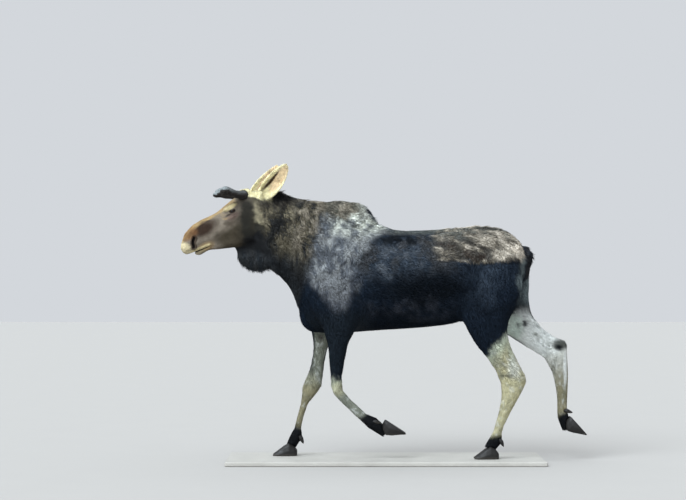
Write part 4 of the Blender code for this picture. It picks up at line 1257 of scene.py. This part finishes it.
# ---- Antlers and hooves --------------------------------------------------------------------------
def make_antler(side, velvet, hair):
    """A growing antler in velvet: soft lumps where points will come, and a nap that stands out."""
    nodes = (f"antler_{side}", f"antler_{side}_tine")
    antler, points = rounded_solids(nodes, f"velvet_antler_{side}", ANTLER_CELL, 0.5, 14)
    mesh = antler.data
    lumps = sum((cloud(points, size, seed) - 0.5) * height for size, seed, height in ANTLER_LUMPS)
    points = swell(mesh, points, lumps - NAP_DEPTH)
    smooth_shading(antler)
    unwrap(antler)
    normals = read_normals(mesh)
    tone = velvet_markings(points, normals)
    colour_points(mesh, tone * UNDER_NAP_SHADE)
    mesh.materials.append(velvet)
    finish_piece(antler, "velvet", *nodes)
    spread, place, normal, patch = plant(mesh, points, normals, np.full(len(points), NAP_GAP) * COAT_GAP)
    count = len(place)
    out = np.array(HEAD_PLACE.to_3x3() @ Vector((0.3, SIDES[side], 0.2)))
    roots = Roots(
        place,
        normal,
        along(np.tile(out, (count, 1)) + NAP_STRAY * random.standard_normal((count, 3)), normal),
        random.uniform(*NAP_LENGTHS, count),
        random.uniform(*NAP_WIDTHS, count),
        random.uniform(*NAP_LIFTS, count),
        NAP_SWAY * random.standard_normal(count),
        spread(tone) * random.uniform(*NAP_SHADES, (count, 1)),
        patch,
    )
    nap = grow(f"velvet_nap_{side}", roots, SHORT_TAPER, hair)
    finish_piece(nap, "velvet")


def velvet_markings(points, normals):
    """Dark brown velvet with painted light: pale grey where it faces up, as lit from above with its sheen;
    dark brown where it turns under and towards the root.
    """
    mottle = cloud(points, 0.014, 93)
    forward = head_measures(points)[0]
    paint = Paint(len(points), "velvet_dark")
    # Painted light: pale grey on the faces that look up, as lit from above.
    paint("velvet", ramp(normals[:, 2], -0.25, 0.60) * (0.65 + 0.35 * mottle))
    paint("velvet_dark", ramp(forward + 0.03 * mottle, 0.205, 0.155) * 0.75)
    paint("back_brown", ramp(mottle, 0.62, 0.9) * 0.4)
    return paint.colour


def make_horn(name, material):
    """A hoof or dewclaw in smooth horn, with the shallow growth rings that run round it."""
    horn, points = rounded_solids([name], f"horn_{name}", HORN_CELL, 0.35, 12)
    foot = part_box(name)[0][2]
    rings = np.sin((points[:, 2] - foot) * math.tau / RING_STEP + 2.5 * (cloud(points, 0.03, 95) - 0.5))
    points = swell(horn.data, points, rings * RING_DEPTH - HORN_INSET)
    smooth_shading(horn)
    paint = Paint(len(points), "horn")
    paint("horn_worn", ramp(points[:, 2] - foot, 0.022, 0.0) * (0.4 + 0.6 * cloud(points, 0.01, 96)))
    paint("horn_worn", ramp(rings, 0.2, 1.0) * 0.18)
    colour_points(horn.data, paint.colour)
    horn.data.materials.append(material)
    finish_piece(horn, "horn", name)


# ---- Camera, light and floor ---------------------------------------------------------------------
def aim(thing, place, target):
    """Puts a camera or lamp in its place and points it at the target."""
    thing.location = place
    thing.rotation_euler = (Vector(target) - thing.location).to_track_quat("-Z", "Y").to_euler()


def set_camera():
    """A camera square to the animal's left side, wide enough for all of it."""
    lens = bpy.data.cameras.new("camera")
    lens.sensor_width = 36
    lens.lens = lens.sensor_width * CAMERA_DISTANCE / VIEW_WIDTH
    lens.clip_end = 100
    camera = add_object("camera", lens)
    aim(camera, (AIM_X, -CAMERA_DISTANCE, CAMERA_HEIGHT), (AIM_X, 0, AIM_Z))
    bpy.context.scene.camera = camera


def set_studio():
    """Soft, even, slightly cool daylight in front of a pale backdrop."""
    for name, (place, spread, strength) in LAMPS.items():
        lamp = bpy.data.lights.new(name, "SUN")
        lamp.angle = math.radians(spread)
        lamp.energy = strength
        lamp.color = linear("daylight")
        aim(add_object(name, lamp), place, (0, 0, 0))
    world = bpy.data.worlds.new("studio")
    world.use_nodes = True
    backdrop = world.node_tree.nodes["Background"]
    backdrop.inputs["Color"].default_value = rgba("backdrop")
    backdrop.inputs["Strength"].default_value = 1.0
    bpy.context.scene.world = world
    bpy.context.scene.view_settings.view_transform = "Standard"


def lay_floor():
    """A wide plain floor, a hair below the base."""
    mesh = bpy.data.meshes.new("floor")
    square = ((-1, -1), (1, -1), (1, 1), (-1, 1))
    corners = [(x * FLOOR_REACH, y * FLOOR_REACH, -FLOOR_DROP) for x, y in square]
    mesh.from_pydata(corners, [], [(0, 1, 2, 3)])
    mesh.materials.append(floor_paint())
    add_object("floor", mesh)


# ---- Materials -----------------------------------------------------------------------------------
def node(material, kind, inputs=(), out=0, **settings):
    """Adds one node and gives its output. Inputs are values or outputs, by socket or in their order."""
    tree = material.node_tree
    made = tree.nodes.new("ShaderNode" + kind)
    for name, value in settings.items():
        setattr(made, name, value)
    by_socket = inputs if isinstance(inputs, dict) else dict(enumerate(inputs))
    for socket, value in by_socket.items():
        if isinstance(value, bpy.types.NodeSocket):
            tree.links.new(value, made.inputs[socket])
        else:
            made.inputs[socket].default_value = value
    return made.outputs[out]


def new_material(name):
    """An empty node-based material."""
    material = bpy.data.materials.new(name)
    material.use_nodes = True
    material.node_tree.nodes.clear()
    return material


def finish_surface(material, **sockets):
    """The Principled surface that every material here ends in."""
    inputs = {name.replace("_", " "): value for name, value in sockets.items()}
    surface = node(material, "BsdfPrincipled", inputs)
    tree = material.node_tree
    tree.links.new(surface, tree.nodes.new("ShaderNodeOutputMaterial").inputs["Surface"])
    return material


def rgba(name, shade=1):
    """A named colour, darkened to that share, with full cover."""
    return (*(linear(name) * shade), 1)


def per_metre(millimetres):
    """The scale of a pattern whose features are that far apart."""
    return 1000 / millimetres


def shaded(material, pattern, darkest, palest, low=0.3, high=0.7):
    """The mesh's own markings, from darkest to palest as the pattern goes from low to high."""
    colour = node(material, "Attribute", attribute_name="markings")
    depth = node(material, "MapRange", (pattern, low, high, darkest, palest))
    return node(material, "MixRGB", (1.0, colour, depth), blend_type="MULTIPLY")


def floor_paint():
    """Matt studio floor paint, rolled on: pale, with only a breath of roller mottle."""
    paint = new_material("floor_paint_matt_rolled")
    place = node(paint, "TexCoord", out="Object")
    mottle = node(paint, "TexNoise", {"Vector": place, "Scale": per_metre(400)})
    tone = node(paint, "MixRGB", (mottle, rgba("floor"), rgba("floor", 0.97)))
    return finish_surface(paint, Base_Color=tone, Roughness=0.8)


def coat_hair():
    """Moose guard hair, dry and coarse: each lock is streaked along its length."""
    hair = new_material("moose_guard_hair_dry")
    strand = node(hair, "UVMap", uv_map="strand")
    streak = node(hair, "TexNoise", {"Vector": strand, "Scale": 1.0, "Detail": 3.0})
    tone = shaded(hair, streak, 0.72, 1.28)
    ridges = node(hair, "Bump", {"Height": streak, "Distance": 0.0004, "Strength": 0.5})
    return finish_surface(hair, Base_Color=tone, Roughness=0.60, Specular_IOR_Level=0.08, Normal=ridges)


def coat_skin():
    """Hide under short lying hair, as a bump with grain. Its hairs are drawn coarse, to show at all."""
    hide = new_material("moose_hide_short_haired")
    place = node(hide, "TexCoord", out="Object")
    hairs = node(hide, "TexNoise", {"Vector": place, "Scale": per_metre(2.2), "Detail": 4.0})
    patches = node(hide, "TexNoise", {"Vector": place, "Scale": per_metre(30), "Detail": 3.0})
    both = node(hide, "Math", (hairs, patches), operation="ADD")
    tone = shaded(hide, both, 0.74, 1.2, 0.7, 1.3)
    ridges = node(hide, "Bump", {"Height": hairs, "Distance": 0.0008, "Strength": 0.6})
    return finish_surface(hide, Base_Color=tone, Roughness=0.75, Specular_IOR_Level=0.10, Normal=ridges)


def velvet_skin():
    """Velvet on a growing antler: a soft nap, drawn coarse to show, with faint veins raised under it."""
    velvet = new_material("antler_velvet_living")
    place = node(velvet, "TexCoord", out="Object")
    nap = node(velvet, "TexNoise", {"Vector": place, "Scale": per_metre(1.6), "Detail": 3.0})
    tone = shaded(velvet, nap, 0.75, 1.2)
    net = {"Vector": place, "Scale": per_metre(14)}
    from_vein = node(velvet, "TexVoronoi", net, feature="DISTANCE_TO_EDGE")
    vein = node(velvet, "MapRange", (from_vein, 0.0, 0.08, 1.0, 0.0))
    fuzz = node(velvet, "Bump", {"Height": nap, "Distance": 0.0006, "Strength": 0.7})
    raised = node(velvet, "Bump", {"Height": vein, "Distance": 0.0006, "Strength": 0.5, "Normal": fuzz})
    return finish_surface(velvet, Base_Color=tone, Roughness=0.85, Specular_IOR_Level=0.2,
                          Sheen_Weight=0.10, Normal=raised)


def hoof_horn():
    """Hoof horn: near black, dull, with tubules down the wall, drawn coarse to show, and worn edges."""
    horn = new_material("hoof_horn_worn")
    place = node(horn, "TexCoord", out="Object")
    down = node(horn, "Mapping", {"Vector": place, "Scale": (1.0, 1.0, 0.15)})
    tubules = node(horn, "TexNoise", {"Vector": down, "Scale": per_metre(1.2), "Detail": 3.0})
    dirt = node(horn, "TexNoise", {"Vector": place, "Scale": per_metre(25), "Detail": 4.0})
    tone = shaded(horn, tubules, 0.8, 1.3)
    rough = node(horn, "MapRange", (dirt, 0.3, 0.7, 0.34, 0.62))
    wall = node(horn, "Bump", {"Height": tubules, "Distance": 0.0003, "Strength": 0.5})
    return finish_surface(horn, Base_Color=tone, Roughness=rough, Specular_IOR_Level=0.25, Normal=wall)


def wet_eye():
    """A live eye: brown iris with radial fibres, level oval pupil, dark rim, all under a wet clear coat."""
    eye = new_material("eye_wet_brown")
    look = node(eye, "Attribute", out="Vector", attribute_name="look")
    split = node(eye, "SeparateXYZ", (look,)).node
    level = node(eye, "Math", (split.outputs["X"], 0.62), operation="MULTIPLY")
    flat = node(eye, "CombineXYZ", (level, split.outputs["Y"], 0.0))
    from_pupil = node(eye, "VectorMath", (flat,), out="Value", operation="LENGTH")
    from_axis = node(eye, "VectorMath", (look, (0.0, 0.0, 1.0)), out="Value", operation="DISTANCE")
    in_radii = EYE_RADIUS * per_metre(0.932)  # the look is measured in radii of the ball
    fibre = node(eye, "TexNoise", {"Vector": look, "Scale": in_radii, "Detail": 3.0})
    iris = node(eye, "MixRGB", (fibre, rgba("iris_dark"), rgba("iris")))
    pupil = node(eye, "MapRange", (from_pupil, 0.20, 0.24, 1.0, 0.0))
    dark = node(eye, "MixRGB", (pupil, iris, rgba("pupil")))
    rim = node(eye, "MapRange", (from_axis, 0.66, 0.76, 0.0, 1.0))
    tone = node(eye, "MixRGB", (rim, dark, rgba("eye_rim")))
    return finish_surface(eye, Base_Color=tone, Roughness=0.3, Specular_IOR_Level=0.1,
                          Coat_Weight=0.3, Coat_Roughness=0.03)


def painted_board():
    """A plain display board in matt grey paint: brushed on, with a little dust."""
    paint = new_material("display_board_paint_matt")
    place = node(paint, "TexCoord", out="Object")
    strokes = node(paint, "Mapping", {"Vector": place, "Scale": (0.06, 1.0, 1.0)})
    brush = node(paint, "TexNoise", {"Vector": strokes, "Scale": per_metre(2.5), "Detail": 3.0})
    dust = node(paint, "TexNoise", {"Vector": place, "Scale": per_metre(180), "Detail": 4.0})
    both = node(paint, "Math", (brush, dust), operation="ADD")
    depth = node(paint, "MapRange", (both, 0.7, 1.3, 0.0, 1.0))
    tone = node(paint, "MixRGB", (depth, rgba("board_edge"), rgba("board")))
    film = node(paint, "Bump", {"Height": brush, "Distance": 0.0003, "Strength": 0.5})
    rough = node(paint, "MapRange", (dust, 0.3, 0.7, 0.55, 0.75))
    return finish_surface(paint, Base_Color=tone, Roughness=rough, Normal=film)


# ---- The scene -----------------------------------------------------------------------------------
set_camera()
set_studio()
lay_floor()

hair = coat_hair()
eye = wet_eye()
velvet = velvet_skin()
horn = hoof_horn()
skin = make_skin()
shares = region_shares(skin)
paint_skin(skin, shares)
skin.data.materials.append(coat_skin())
finish_piece(skin, "coat_dark", *FLESH)
grow_coat(skin, shares, hair)
for side in SIDES:
    make_eye(side, eye)
    make_antler(side, velvet, hair)
for name in sorted(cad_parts):
    if name.startswith(("hoof", "dewclaw")):
        make_horn(name, horn)
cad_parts["stand_base"].material_slots[0].material = painted_board()
